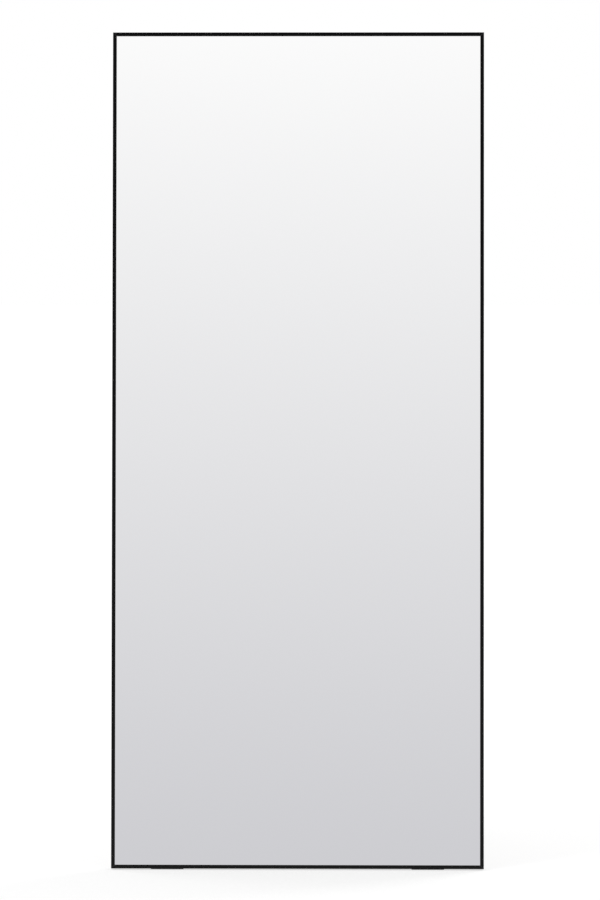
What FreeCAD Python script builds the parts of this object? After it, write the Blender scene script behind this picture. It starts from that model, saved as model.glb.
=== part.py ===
"""Leaning floor mirror: a silvered glass pane in a mitred black aluminium frame.

The frame is a thin extruded section with a narrow front lip, a rebate for the glass and its backing, and a
closed tunnel along the rear that takes the corner keys. Rubber feet under the bottom rail and rubber bumpers
near the top of the stiles let the mirror lean against a wall, and two more near the foot keep it off a wall
that it hangs on. A ring that hangs from a strap on each stile takes a wall tether or a hook.

Every piece is drawn in the mirror's own upright frame: X across, Y from the face (0) to the rear, Z up from
the underside of the bottom rail. One shared placement then tips all of them back by the lean angle, so that
the soles of the feet lie on Z = 0 and the upper bumpers meet a wall that is square to the floor.
"""

import FreeCAD, Part
import os
import Sketcher
from FreeCAD import Vector

# ---------------------------------------------------------------- driving sizes, in millimetres and degrees
SIZES = [
    ("frame_width", 800.0, "outer width of the frame"),
    ("frame_height", 1800.0, "outer height of the frame, measured along its face"),
    ("face_width", 8.0, "frame width that shows from the front"),
    ("rail_wall", 1.6, "wall of the extruded section, its front lip included"),
    ("flange_width", 18.0, "width of the section's rear face"),
    ("tunnel_depth", 8.4, "inside depth of the corner-key tunnel"),
    ("outer_edge_radius", 0.8, "rounding of the section's two outer edges"),
    ("lip_edge_radius", 0.4, "rounding of the lip and of the rear flange's inner edge"),
    ("lean_angle", 4.5, "tilt back from upright when it leans on a wall"),
    # the glazing package, from the front
    ("gasket_thickness", 0.8, "foam strip between the lip and the glass"),
    ("gasket_setback", 1.0, "how far the foam strip stops short of the lip's edge"),
    ("glass_thickness", 4.0, "silvered float glass"),
    ("glass_arris", 0.6, "ground chamfer round the glass"),
    ("edge_gap", 2.0, "space round the glass, filled by the edge blocks"),
    ("film_thickness", 0.2, "safety film on the silvering"),
    ("film_margin", 4.0, "how far the film stops short of the glass edge"),
    ("tape_thickness", 1.0, "double-sided foam tape between film and board"),
    ("tape_width", 25.0, "width of a tape strip"),
    ("tape_end_gap", 60.0, "bare board above and below the tape strips"),
    ("tape_side_gap", 60.0, "bare board beside the outer tape strips"),
    ("tape_spacing", 165.0, "widest spacing of the tape strips"),
    ("board_thickness", 3.0, "hardboard back panel"),
    ("clip_height", 2.8, "space behind the board, spanned by the spring clips"),
    # rubber edge blocks
    ("block_length", 80.0, "length of an edge block"),
    ("sill_block_inset", 150.0, "top and bottom blocks, from the frame's sides to a block's middle"),
    ("side_block_inset", 300.0, "side blocks, from the frame's ends to a block's middle"),
    # spring clips
    ("clip_steel", 0.5, "spring steel"),
    ("clip_length", 50.0, "length of a clip along its rail"),
    ("clip_width", 16.0, "width of a clip across its rail"),
    ("clip_crown", 12.0, "flat top of the bow"),
    ("clip_foot", 8.0, "flat foot at each end"),
    ("clip_inset", 7.0, "from the frame's outer face to the clip"),
    ("clip_end", 150.0, "from the frame's corner to the middle of the first clip"),
    ("clip_spacing", 380.0, "widest spacing of the clips"),
    # corner keys and their screws
    ("key_clearance", 0.15, "gap between a key and its tunnel"),
    ("key_lead", 1.0, "chamfer that leads a key leg into its tunnel"),
    ("key_screw_near", 28.0, "from the frame's outer corner to the nearer screw"),
    ("key_screw_pitch", 18.0, "between the two screws of a key leg"),
    ("key_end_margin", 14.0, "from the further screw to the end of the key leg"),
    ("key_screw_shank", 3.9, "shank diameter of a corner screw"),
    ("key_screw_grip", 5.0, "how deep a corner screw goes into its key"),
    ("key_screw_head", 7.5, "pan head diameter"),
    ("key_screw_head_height", 2.6, "pan head height"),
    ("screw_gap", 0.05, "radial gap round a screw shank"),
    ("recess_span", 4.2, "length of the cross recess"),
    ("recess_width", 0.9, "width of the cross recess"),
    ("recess_depth", 1.5, "depth of the cross recess"),
    # hangers
    ("hanger_drop", 450.0, "ring pivot below the top of the frame, a quarter of its height"),
    ("strap_steel", 1.2, "strap, folded double"),
    ("strap_width", 9.0, "width of the strap"),
    ("strap_screw_near", 5.0, "from where the eye rises off the flat strap to the nearer screw"),
    ("strap_screw_pitch", 16.5, "between the two screws of a strap"),
    ("strap_end_margin", 7.0, "from the further screw to the strap's free end"),
    ("strap_end_radius", 3.0, "rounded corners of the free end"),
    ("strap_screw_shank", 3.5, "shank diameter of a strap screw"),
    ("strap_screw_tip", 4.0, "how far a strap screw reaches past the rail's rear wall"),
    ("strap_screw_head", 6.9, "pan head diameter"),
    ("strap_screw_head_height", 2.4, "pan head height"),
    ("ring_wire", 3.0, "wire of the ring"),
    ("ring_arm", 6.5, "straight arm of the ring, between its bend and its bow"),
    ("ring_side_gap", 1.0, "play between the strap and a ring arm"),
    ("ring_bend", 0.5, "inside radius of the bends between the ring's bar and its arms"),
    ("ring_pin_gap", 0.1, "running clearance between the ring's bar and the strap's eye"),
    # rear bumpers
    ("bumper_gap", 30.0, "from the end of the corner key's leg to the bumper's centre"),
    ("bumper_base", 16.0, "base diameter"),
    ("bumper_taper", 1.5, "how much smaller the bumper's radius is at its face"),
    ("bumper_height", 11.0, "from the frame's rear face to the bumper's face, at its centre"),
    ("bumper_edge_radius", 0.8, "rounding of the face"),
    # feet
    ("foot_gap", 25.0, "from the end of the corner key's leg to the foot"),
    ("foot_length", 70.0, "length of a foot along the rail"),
    ("foot_depth", 10.0, "depth of a foot, front to rear"),
    ("foot_heel", 1.0, "rubber under the rear edge of the frame, where the foot is thinnest"),
    ("foot_corner_radius", 3.0, "rounded corners of a foot"),
    ("foot_stem_inset", 15.0, "from the end of a foot to its stem"),
    # push-in stems of the bumpers and feet
    ("stem_diameter", 4.0, "stem through the rail wall"),
    ("stem_gap", 0.1, "radial gap round a stem"),
    ("barb_diameter", 5.4, "barb behind the rail wall"),
    ("barb_length", 2.5, "length of the barb"),
    ("barb_taper", 1.0, "how much smaller the barb's radius is at its tip"),
]

# ---------------------------------------------------------------- places worked out from the sizes
# Depths count from the face of the frame towards its rear.
GLASS_FRONT = "(Sizes.rail_wall + Sizes.gasket_thickness)"
FILM_FRONT = f"({GLASS_FRONT} + Sizes.glass_thickness)"
TAPE_FRONT = f"({FILM_FRONT} + Sizes.film_thickness)"
BOARD_FRONT = f"({TAPE_FRONT} + Sizes.tape_thickness)"
CLIP_FRONT = f"({BOARD_FRONT} + Sizes.board_thickness)"
TUNNEL_FRONT = f"({CLIP_FRONT} + Sizes.clip_height)"
CAVITY_FRONT = f"({TUNNEL_FRONT} + Sizes.rail_wall)"
CAVITY_REAR = f"({CAVITY_FRONT} + Sizes.tunnel_depth)"
REAR_FACE = f"({CAVITY_REAR} + Sizes.rail_wall)"
TUNNEL_MIDDLE = f"({CAVITY_FRONT} + Sizes.tunnel_depth / 2)"

HALF_WIDTH = "(Sizes.frame_width / 2)"
GLASS_INSET = "(Sizes.rail_wall + Sizes.edge_gap)"
FLANGE_MIDDLE = "(Sizes.flange_width / 2)"
PACKAGE_DEPTH = f"({CLIP_FRONT} - {GLASS_FRONT})"

KEY_SCREW_FAR = "(Sizes.key_screw_near + Sizes.key_screw_pitch)"
KEY_LEG = f"({KEY_SCREW_FAR} + Sizes.key_end_margin)"
LOWER_BUMPER = f"({KEY_LEG} + Sizes.bumper_gap)"
UPPER_BUMPER = f"(Sizes.frame_height - {LOWER_BUMPER})"
FOOT_REACH = f"({HALF_WIDTH} - {KEY_LEG} - Sizes.foot_gap - Sizes.foot_length / 2)"

# The strap's eye stands on the rail. A 45 degree ramp leads from it to the two flat plies above.
EYE_RADIUS = "(Sizes.ring_wire / 2 + Sizes.ring_pin_gap)"
EYE_OUTER = f"({EYE_RADIUS} + Sizes.strap_steel)"
PIVOT_DEPTH = f"({REAR_FACE} + {EYE_OUTER})"
PIVOT_HEIGHT = "(Sizes.frame_height - Sizes.hanger_drop)"
STRAP_FACE = f"({REAR_FACE} + 2 * Sizes.strap_steel)"
RAMP_TANGENT = f"(sqrt(0.5) * {EYE_OUTER})"
RAMP_TOP = f"({PIVOT_HEIGHT} + 2 * {RAMP_TANGENT} + {EYE_OUTER} - 2 * Sizes.strap_steel)"
STRAP_SCREW_NEAR = f"({RAMP_TOP} + Sizes.strap_screw_near)"
STRAP_SCREW_FAR = f"({STRAP_SCREW_NEAR} + Sizes.strap_screw_pitch)"
STRAP_END = f"({STRAP_SCREW_FAR} + Sizes.strap_end_margin)"

# The shared placement: the bounding box is centred on Y = 0 and the soles lie on Z = 0.
SINE = "sin(Sizes.lean_angle)"
COSINE = "cos(Sizes.lean_angle)"
WALL_REACH = f"(({REAR_FACE} + Sizes.bumper_height) * {COSINE} + {UPPER_BUMPER} * {SINE})"
FRONT_REACH = f"(Sizes.outer_edge_radius * ({COSINE} + {SINE} - 1))"
SHIFT = f"(-({WALL_REACH} + {FRONT_REACH}) / 2)"
LIFT = f"({REAR_FACE} * {SINE} + Sizes.foot_heel * {COSINE})"
LEAN = f"placement(vector(0; {SHIFT}; {LIFT}); rotation(vector(1; 0; 0); -Sizes.lean_angle))"

CUT_MARGIN = 2.0  # how far a cut runs past the metal it goes through

doc = FreeCAD.newDocument("leaning_floor_mirror")
sheet = doc.addObject("Spreadsheet::Sheet", "Sizes")
for row, (alias, value, meaning) in enumerate(SIZES, start=1):
    sheet.set(f"A{row}", alias)
    sheet.set(f"B{row}", str(value))
    sheet.set(f"C{row}", meaning)
    sheet.setAlias(f"B{row}", alias)
doc.recompute()
bodies = []


# ---------------------------------------------------------------- modelling helpers
def number(expression):
    """The value of an expression now, in millimetres."""
    value = sheet.evalExpression(str(expression))
    return float(getattr(value, "Value", value))


def origin_part(body, role):
    return [item for item in body.Origin.OriginFeatures if item.Role == role][0]


def new_body(name, placement=LEAN):
    """A sub-part, tipped back with all the others unless it has a placement of its own."""
    body = doc.addObject("PartDesign::Body", name)
    body.Label = name
    body.setExpression("Placement", placement)
    bodies.append(body)
    return body


def new_sketch(body, name, plane, offset="0"):
    """A sketch on one of the body's own planes, moved along that plane's normal.

    XY: sketch x and y are X and Y. XZ: they are X and Z, and the normal is -Y. YZ: they are Y and Z.
    """
    sketch = body.newObject("Sketcher::SketchObject", name)
    sketch.AttachmentSupport = [(origin_part(body, plane + "_Plane"), "")]
    sketch.MapMode = "FlatFace"
    sketch.setExpression("AttachmentOffset.Base.z", offset)
    return sketch


def pin_down(sketch, item, point, place):
    """Fixes one point of a sketch item at a pair of expressions."""
    for kind, expression in zip(("DistanceX", "DistanceY"), place):
        if expression is not None:
            constraint = Sketcher.Constraint(kind, item, point, number(expression))
            index = sketch.addConstraint(constraint)
            sketch.setExpression(f"Constraints[{index}]", expression)


def draw_outline(sketch, corners):
    """A closed outline of straight lines through the corners, each a pair of expressions."""
    first = sketch.GeometryCount
    count = len(corners)
    points = [Vector(number(a), number(b), 0) for a, b in corners]
    for i in range(count):
        sketch.addGeometry(Part.LineSegment(points[i], points[(i + 1) % count]), False)
    for i in range(count):
        sketch.addConstraint(Sketcher.Constraint("Coincident", first + i, 2, first + (i + 1) % count, 1))
        pin_down(sketch, first + i, 1, corners[i])


def draw_box(sketch, low, high):
    """A rectangle between two corners, each a pair of expressions."""
    draw_outline(sketch, [low, (high[0], low[1]), high, (low[0], high[1])])


def draw_circle(sketch, centre, diameter):
    middle = Vector(number(centre[0]), number(centre[1]), 0)
    item = sketch.addGeometry(Part.Circle(middle, Vector(0, 0, 1), number(diameter) / 2), False)
    pin_down(sketch, item, 3, centre)
    index = sketch.addConstraint(Sketcher.Constraint("Diameter", item, number(diameter)))
    sketch.setExpression(f"Constraints[{index}]", diameter)


def pad(body, sketch, length, backwards=False, midplane=False):
    feature = body.newObject("PartDesign::Pad", sketch.Name + "_pad")
    feature.Profile = (sketch, [""])
    feature.setExpression("Length", length)
    feature.Reversed = backwards
    feature.Midplane = midplane
    doc.recompute()
    return feature


def pocket(body, sketch, length, backwards=False, midplane=False):
    """Cuts against the sketch's normal, and stops the build if it removes nothing."""
    before = body.Shape.Volume
    feature = body.newObject("PartDesign::Pocket", sketch.Name + "_cut")
    feature.Profile = (sketch, [""])
    feature.setExpression("Length", length)
    feature.Reversed = backwards
    feature.Midplane = midplane
    doc.recompute()
    if body.Shape.Volume > before - 1e-3:
        raise RuntimeError(f"{feature.Name} cuts nothing")
    return feature


def edges_where(shape, tests):
    """Names of the edges whose two ends both pass one of the tests."""
    names = []
    for index, edge in enumerate(shape.Edges, start=1):
        ends = [edge.Vertexes[0].Point, edge.Vertexes[-1].Point]
        if any(all(test(end) for end in ends) for test in tests):
            names.append(f"Edge{index}")
    return names


def soften(body, kind, size, *tests):
    """Fillets or chamfers the edges of the body's last feature that pass one of the tests."""
    base = body.Tip
    names = edges_where(base.Shape, tests)
    if not names:
        raise RuntimeError(f"{body.Name}: no edge to {kind.lower()}")
    feature = body.newObject("PartDesign::" + kind, f"{body.Name}_{kind.lower()}")
    feature.Base = (base, names)
    feature.setExpression("Radius" if kind == "Fillet" else "Size", size)
    doc.recompute()
    return feature


def near(a, b):
    return abs(a - b) < 1e-4


def along_line(**places):
    """A test for points on a line, from two of its coordinates, such as x and y."""
    return lambda point: all(near(getattr(point, axis), place) for axis, place in places.items())


def repeat(body, feature, axis, span, spacing):
    """Copies a feature evenly over a span of an axis, with as few copies as the widest spacing allows."""
    pattern = body.newObject("PartDesign::LinearPattern", feature.Name + "_row")
    pattern.Originals = [feature]
    pattern.Direction = (origin_part(body, axis + "_Axis"), [""])
    pattern.setExpression("Length", span)
    pattern.setExpression("Occurrences", f"ceil(({span}) / {spacing}) + 1")
    body.Tip = pattern
    doc.recompute()
    return pattern


# ---------------------------------------------------------------- the four sides of the frame
class Side:
    """One side of the frame: turns an inset from the outer face and a run along the side into X and Z."""

    def __init__(self, name, upright, far):
        self.name = name
        self.upright = upright  # True for a stile, False for a rail
        self.far = far  # True for the right stile and the top rail

    def across(self, inset):
        """Position square to the side, at an inset from the frame's outer face."""
        if self.upright:
            return f"({HALF_WIDTH} - ({inset}))" if self.far else f"(-{HALF_WIDTH} + ({inset}))"
        return f"(Sizes.frame_height - ({inset}))" if self.far else f"({inset})"

    def ends(self, distance):
        """The two positions along the side at a distance from the frame's two ends."""
        if self.upright:
            return f"({distance})", f"(Sizes.frame_height - ({distance}))"
        return f"(-{HALF_WIDTH} + ({distance}))", f"({HALF_WIDTH} - ({distance}))"

    def xz(self, inset, along):
        """X and Z of a point, from its inset and its position along the side."""
        return (self.across(inset), along) if self.upright else (along, self.across(inset))

    def length(self):
        return "Sizes.frame_height" if self.upright else "Sizes.frame_width"


LEFT = Side("left", True, False)
RIGHT = Side("right", True, True)
BOTTOM = Side("bottom", False, False)
TOP = Side("top", False, True)
SIDES = [LEFT, RIGHT, BOTTOM, TOP]


def rail_section():
    """The extruded section as (inset, depth) pairs: its outline, and the tunnel inside it."""
    wall = "Sizes.rail_wall"
    outline = [
        ("0", "0"),
        ("Sizes.face_width", "0"),
        ("Sizes.face_width", wall),
        (wall, wall),
        (wall, TUNNEL_FRONT),
        ("Sizes.flange_width", TUNNEL_FRONT),
        ("Sizes.flange_width", REAR_FACE),
        ("0", REAR_FACE),
    ]
    tunnel = [
        (wall, CAVITY_FRONT),
        (f"Sizes.flange_width - {wall}", CAVITY_FRONT),
        (f"Sizes.flange_width - {wall}", CAVITY_REAR),
        (wall, CAVITY_REAR),
    ]
    return outline, tunnel


def extrude_rail(side, name):
    """The section drawn across the side and extruded to the frame's full width or height."""
    body = new_body(name)
    plane = "XY" if side.upright else "YZ"
    sketch = new_sketch(body, name + "_section", plane)
    for wire in rail_section():
        if side.upright:
            draw_outline(sketch, [(side.across(inset), depth) for inset, depth in wire])
        else:
            draw_outline(sketch, [(depth, side.across(inset)) for inset, depth in wire])
    pad(body, sketch, side.length(), midplane=not side.upright)
    return body


def round_rail(side, body):
    """Rounds the two outer edges, the lip's front edge and the rear flange's inner edge."""
    axis = "x" if side.upright else "z"

    def edge_at(inset, depth):
        return along_line(**{axis: number(side.across(inset)), "y": number(depth)})

    soften(body, "Fillet", "Sizes.outer_edge_radius", edge_at("0", "0"), edge_at("0", REAR_FACE))
    inner = (edge_at("Sizes.face_width", "0"), edge_at("Sizes.flange_width", REAR_FACE))
    soften(body, "Fillet", "Sizes.lip_edge_radius", *inner)


def mitre_rail(side, body):
    """Cuts both ends at 45 degrees, so that the frame's corners close on the diagonal."""
    reach = f"(Sizes.flange_width + {CUT_MARGIN})"
    sketch = new_sketch(body, body.Name + "_mitre", "XZ")
    for corner, inner in zip(side.ends("0"), side.ends(reach)):
        draw_outline(sketch, [side.xz("0", corner), side.xz(reach, corner), side.xz(reach, inner)])
    pocket(body, sketch, f"3 * {REAR_FACE}", midplane=True)


def drill_rear_wall(body, name, centres, diameter):
    """Round holes through the rear wall of the section, at X and Z pairs."""
    sketch = new_sketch(body, name, "XZ", f"-({CAVITY_REAR} - {CUT_MARGIN})")
    for centre in centres:
        draw_circle(sketch, centre, diameter)
    pocket(body, sketch, f"Sizes.rail_wall + 2 * {CUT_MARGIN}")


def key_screw_places(side):
    """X and Z of the four corner screws in one side of the frame."""
    return [
        side.xz(FLANGE_MIDDLE, along)
        for distance in ("Sizes.key_screw_near", KEY_SCREW_FAR)
        for along in side.ends(distance)
    ]


def strap_screw_places(side):
    return [side.xz(FLANGE_MIDDLE, height) for height in (STRAP_SCREW_NEAR, STRAP_SCREW_FAR)]


def foot_stem_places(sign):
    """X and Y of the two stems of a foot. Sign is -1 for the left foot and 1 for the right one."""
    offset = "(Sizes.foot_length / 2 - Sizes.foot_stem_inset)"
    return [(f"({sign} * {FOOT_REACH} + {end} * {offset})", TUNNEL_MIDDLE) for end in (-1, 1)]


def screw_hole(shank):
    return f"({shank} + 2 * Sizes.screw_gap)"


STEM_HOLE = "(Sizes.stem_diameter + 2 * Sizes.stem_gap)"


def drill_foot_holes(body):
    """Holes through the underside of the bottom rail for the stems of both feet."""
    sketch = new_sketch(body, "foot_stem_holes", "XY", f"-{CUT_MARGIN}")
    for place in foot_stem_places(-1) + foot_stem_places(1):
        draw_circle(sketch, place, STEM_HOLE)
    pocket(body, sketch, f"Sizes.rail_wall + 2 * {CUT_MARGIN}", backwards=True)


def make_rail(side, name):
    body = extrude_rail(side, name)
    round_rail(side, body)
    mitre_rail(side, body)
    key_hole = screw_hole("Sizes.key_screw_shank")
    strap_hole = screw_hole("Sizes.strap_screw_shank")
    drill_rear_wall(body, name + "_key_screw_holes", key_screw_places(side), key_hole)
    if side.upright:
        drill_rear_wall(body, name + "_strap_screw_holes", strap_screw_places(side), strap_hole)
        bumpers = [side.xz(FLANGE_MIDDLE, height) for height in (LOWER_BUMPER, UPPER_BUMPER)]
        drill_rear_wall(body, name + "_bumper_holes", bumpers, STEM_HOLE)
    elif not side.far:
        drill_foot_holes(body)


# ---------------------------------------------------------------- corner keys and screws
class Corner:
    """One corner of the frame: turns insets from its two outer faces into X and Z."""

    def __init__(self, stile, rail):
        self.stile = stile
        self.rail = rail
        self.name = f"{rail.name}_{stile.name}"

    def xz(self, inset_x, inset_z):
        return self.stile.across(inset_x), self.rail.across(inset_z)

    def screw_places(self):
        distances = ("Sizes.key_screw_near", KEY_SCREW_FAR)
        on_stile = [self.xz(FLANGE_MIDDLE, distance) for distance in distances]
        on_rail = [self.xz(distance, FLANGE_MIDDLE) for distance in distances]
        return on_stile + on_rail


CORNERS = [Corner(stile, rail) for rail in (TOP, BOTTOM) for stile in (LEFT, RIGHT)]


def make_corner_key(corner):
    """An L-shaped cast key that fills the tunnels of two mitred sides."""
    body = new_body(corner.name + "_corner_key")
    outer = "(Sizes.rail_wall + Sizes.key_clearance)"
    inner = "(Sizes.flange_width - Sizes.rail_wall - Sizes.key_clearance)"
    tip = KEY_LEG
    sketch = new_sketch(body, body.Name + "_outline", "XZ", f"-({CAVITY_FRONT} + Sizes.key_clearance)")
    insets = [(outer, outer), (tip, outer), (tip, inner), (inner, inner), (inner, tip), (outer, tip)]
    draw_outline(sketch, [corner.xz(x, z) for x, z in insets])
    pad(body, sketch, "Sizes.tunnel_depth - 2 * Sizes.key_clearance", backwards=True)
    tip_x, tip_z = (number(expression) for expression in corner.xz(tip, tip))
    soften(body, "Chamfer", "Sizes.key_lead", along_line(x=tip_x), along_line(z=tip_z))
    holes = new_sketch(body, body.Name + "_holes", "XZ", f"-({CAVITY_FRONT} - {CUT_MARGIN})")
    for centre in corner.screw_places():
        draw_circle(holes, centre, screw_hole("Sizes.key_screw_shank"))
    pocket(body, holes, f"Sizes.tunnel_depth + 2 * {CUT_MARGIN}")


def make_screws(name, centres, seat, tip, shank, head, head_height):
    """Pan-head screws with a cross recess, from the depths of the head's underside and the screw's tip."""
    body = new_body(name)
    shanks = new_sketch(body, name + "_shanks", "XZ", f"-({tip})")
    heads = new_sketch(body, name + "_heads", "XZ", f"-({seat})")
    for centre in centres:
        draw_circle(shanks, centre, shank)
        draw_circle(heads, centre, head)
    pad(body, heads, head_height, backwards=True)
    soften(body, "Fillet", f"{head_height} / 2", along_line(y=number(f"{seat} + {head_height}")))
    pad(body, shanks, f"{seat} - ({tip})", backwards=True)
    recess = new_sketch(body, name + "_recess", "XZ", f"-({seat} + {head_height} - Sizes.recess_depth)")
    half_span, half_width = "Sizes.recess_span / 2", "Sizes.recess_width / 2"
    arms = [
        (half_width, half_span), (half_width, half_width), (half_span, half_width),
        (half_span, f"-{half_width}"), (half_width, f"-{half_width}"), (half_width, f"-{half_span}"),
        (f"-{half_width}", f"-{half_span}"), (f"-{half_width}", f"-{half_width}"),
        (f"-{half_span}", f"-{half_width}"), (f"-{half_span}", half_width),
        (f"-{half_width}", half_width), (f"-{half_width}", half_span),
    ]
    for x, z in centres:
        draw_outline(recess, [(f"{x} + {a}", f"{z} + {b}") for a, b in arms])
    pocket(body, recess, f"Sizes.recess_depth + {CUT_MARGIN}")


# ---------------------------------------------------------------- the glazing package
def make_sheet(name, front, thickness, inset):
    """A flat rectangular sheet, with its edges at an inset from the frame's outer faces."""
    body = new_body(name)
    sketch = new_sketch(body, name + "_outline", "XZ", f"-{front}")
    low = (LEFT.across(inset), BOTTOM.across(inset))
    high = (RIGHT.across(inset), TOP.across(inset))
    draw_box(sketch, low, high)
    pad(body, sketch, thickness, backwards=True)
    return body


def make_mirror_glass():
    body = make_sheet("mirror_glass", GLASS_FRONT, "Sizes.glass_thickness", GLASS_INSET)
    front, rear = number(GLASS_FRONT), number(FILM_FRONT)
    soften(body, "Chamfer", "Sizes.glass_arris", along_line(y=front), along_line(y=rear))


def make_mounting_tape():
    """Upright strips of double-sided foam tape between the film and the board."""
    body = new_body("mounting_tape")
    sketch = new_sketch(body, "tape_strip", "XZ", f"-{TAPE_FRONT}")
    side = f"({GLASS_INSET} + Sizes.tape_side_gap)"
    end = f"({GLASS_INSET} + Sizes.tape_end_gap)"
    low = (LEFT.across(side), BOTTOM.across(end))
    high = (LEFT.across(f"({side} + Sizes.tape_width)"), TOP.across(end))
    draw_box(sketch, low, high)
    strip = pad(body, sketch, "Sizes.tape_thickness", backwards=True)
    repeat(body, strip, "X", f"Sizes.frame_width - 2 * {side} - Sizes.tape_width", "Sizes.tape_spacing")


def make_gasket(side):
    """Foam strip behind the lip. The upright strips run full height, and the others fit between them."""
    body = new_body(side.name + "_lip_gasket")
    outer, inner = GLASS_INSET, "(Sizes.face_width - Sizes.gasket_setback)"
    start, end = side.ends(outer if side.upright else inner)
    sketch = new_sketch(body, body.Name + "_outline", "XZ", "-Sizes.rail_wall")
    draw_box(sketch, side.xz(outer, start), side.xz(inner, end))
    pad(body, sketch, "Sizes.gasket_thickness", backwards=True)


def make_edge_blocks(side):
    """Two rubber blocks between the frame and the edges of the glass and board."""
    body = new_body(side.name + "_edge_blocks")
    sketch = new_sketch(body, body.Name + "_outline", "XZ", f"-{GLASS_FRONT}")
    half = "Sizes.block_length / 2"
    for middle in side.ends("Sizes.side_block_inset" if side.upright else "Sizes.sill_block_inset"):
        low = side.xz("Sizes.rail_wall", f"({middle} - {half})")
        high = side.xz(GLASS_INSET, f"({middle} + {half})")
        draw_box(sketch, low, high)
    pad(body, sketch, PACKAGE_DEPTH, backwards=True)


def clip_outline(middle):
    """A bowed spring clip seen along its rail's inner side, as (along, depth) pairs."""
    half, crown = "Sizes.clip_length / 2", "Sizes.clip_crown / 2"
    heel = f"({half} - Sizes.clip_foot)"
    rear_of_foot = f"({CLIP_FRONT} + Sizes.clip_steel)"
    front_of_crown = f"({TUNNEL_FRONT} - Sizes.clip_steel)"
    front_line = [(f"-{half}", CLIP_FRONT), (f"-{heel}", CLIP_FRONT), (f"-{crown}", front_of_crown)]
    rear_line = [(f"-{crown}", TUNNEL_FRONT), (f"-{heel}", rear_of_foot), (f"-{half}", rear_of_foot)]

    def mirrored(line):
        return [(f"-({along})", depth) for along, depth in reversed(line)]

    outline = front_line + mirrored(front_line) + mirrored(rear_line) + rear_line
    return [(f"({middle} + ({along}))", depth) for along, depth in outline]


def make_spring_clips(side):
    """Bowed steel clips that press the board forward, half under the frame's rear tunnel."""
    body = new_body(side.name + "_spring_clips")
    inset = "(Sizes.clip_inset + Sizes.clip_width)" if side.far else "Sizes.clip_inset"
    start = side.across(inset)
    first, last = side.ends("Sizes.clip_end")
    sketch = new_sketch(body, body.Name + "_outline", "YZ" if side.upright else "XY", start)
    outline = clip_outline(first)
    draw_outline(sketch, [(depth, along) for along, depth in outline] if side.upright else outline)
    clip = pad(body, sketch, "Sizes.clip_width")
    repeat(body, clip, "Z" if side.upright else "X", f"{last} - {first}", "Sizes.clip_spacing")


# ---------------------------------------------------------------- hangers
def make_strap(side):
    """A steel strap folded round the ring's bar, both plies flat on the rail."""
    body = new_body(side.name + "_hanger_strap")
    middle = side.across(FLANGE_MIDDLE)
    sketch = new_sketch(body, body.Name + "_side", "YZ", middle)
    draw_outline(sketch, [
        (REAR_FACE, STRAP_END),
        (STRAP_FACE, STRAP_END),
        (STRAP_FACE, RAMP_TOP),
        (f"{PIVOT_DEPTH} + {RAMP_TANGENT}", f"{PIVOT_HEIGHT} + {RAMP_TANGENT}"),
        (PIVOT_DEPTH, PIVOT_HEIGHT),
        (REAR_FACE, PIVOT_HEIGHT),
    ])
    pad(body, sketch, "Sizes.strap_width", midplane=True)
    edges = [number(f"{middle} + {sign} * Sizes.strap_width / 2") for sign in (-1, 1)]
    corners = [along_line(x=edge, z=number(STRAP_END)) for edge in edges]
    soften(body, "Fillet", "min(Sizes.strap_end_radius; Sizes.strap_width / 3)", *corners)
    roll = new_sketch(body, body.Name + "_roll", "YZ", middle)
    draw_circle(roll, (PIVOT_DEPTH, PIVOT_HEIGHT), f"(2 * {EYE_OUTER})")
    pad(body, roll, "Sizes.strap_width", midplane=True)
    eye = new_sketch(body, body.Name + "_eye", "YZ", middle)
    draw_circle(eye, (PIVOT_DEPTH, PIVOT_HEIGHT), f"(2 * {EYE_RADIUS})")
    pocket(body, eye, f"Sizes.strap_width + 2 * {CUT_MARGIN}", midplane=True)
    holes = new_sketch(body, body.Name + "_holes", "XZ", f"-({REAR_FACE} - {CUT_MARGIN})")
    for centre in strap_screw_places(side):
        draw_circle(holes, centre, screw_hole("Sizes.strap_screw_shank"))
    pocket(body, holes, f"2 * Sizes.strap_steel + 2 * {CUT_MARGIN}")


def draw_ring_path(sketch):
    """The D-shaped centre line of the ring, hanging from the middle of its bar at the sketch's origin."""
    half = "(Sizes.strap_width / 2 + Sizes.ring_side_gap + Sizes.ring_wire / 2)"
    bend = "(Sizes.ring_bend + Sizes.ring_wire / 2)"
    bow = f"(-{bend} - Sizes.ring_arm)"
    stops = [
        ("0", "0"),
        (f"-{half} + {bend}", "0"),
        (f"-{half}", f"-{bend}"),
        (f"-{half}", bow),
        (half, bow),
        (half, f"-{bend}"),
        (f"{half} - {bend}", "0"),
    ]
    arcs = {1: (f"-{half} + {bend}", f"-{bend}"), 3: ("0", bow), 5: (f"{half} - {bend}", f"-{bend}")}
    points = [Vector(number(a), number(b), 0) for a, b in stops]
    count = len(points)
    for i in range(count):
        start, end = points[i], points[(i + 1) % count]
        if i in arcs:
            centre = Vector(number(arcs[i][0]), number(arcs[i][1]), 0)
            outward = Vector(0, -1, 0) if i == 3 else (start + end) / 2 - centre
            crest = centre + outward.normalize() * (start - centre).Length
            sketch.addGeometry(Part.Arc(start, crest, end), False)
        else:
            sketch.addGeometry(Part.LineSegment(start, end), False)
    for i in range(count):
        sketch.addConstraint(Sketcher.Constraint("Coincident", i, 2, (i + 1) % count, 1))
        pin_down(sketch, i, 1, stops[i])
    for i, centre in arcs.items():
        pin_down(sketch, i, 3, (None, centre[1]))


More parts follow.
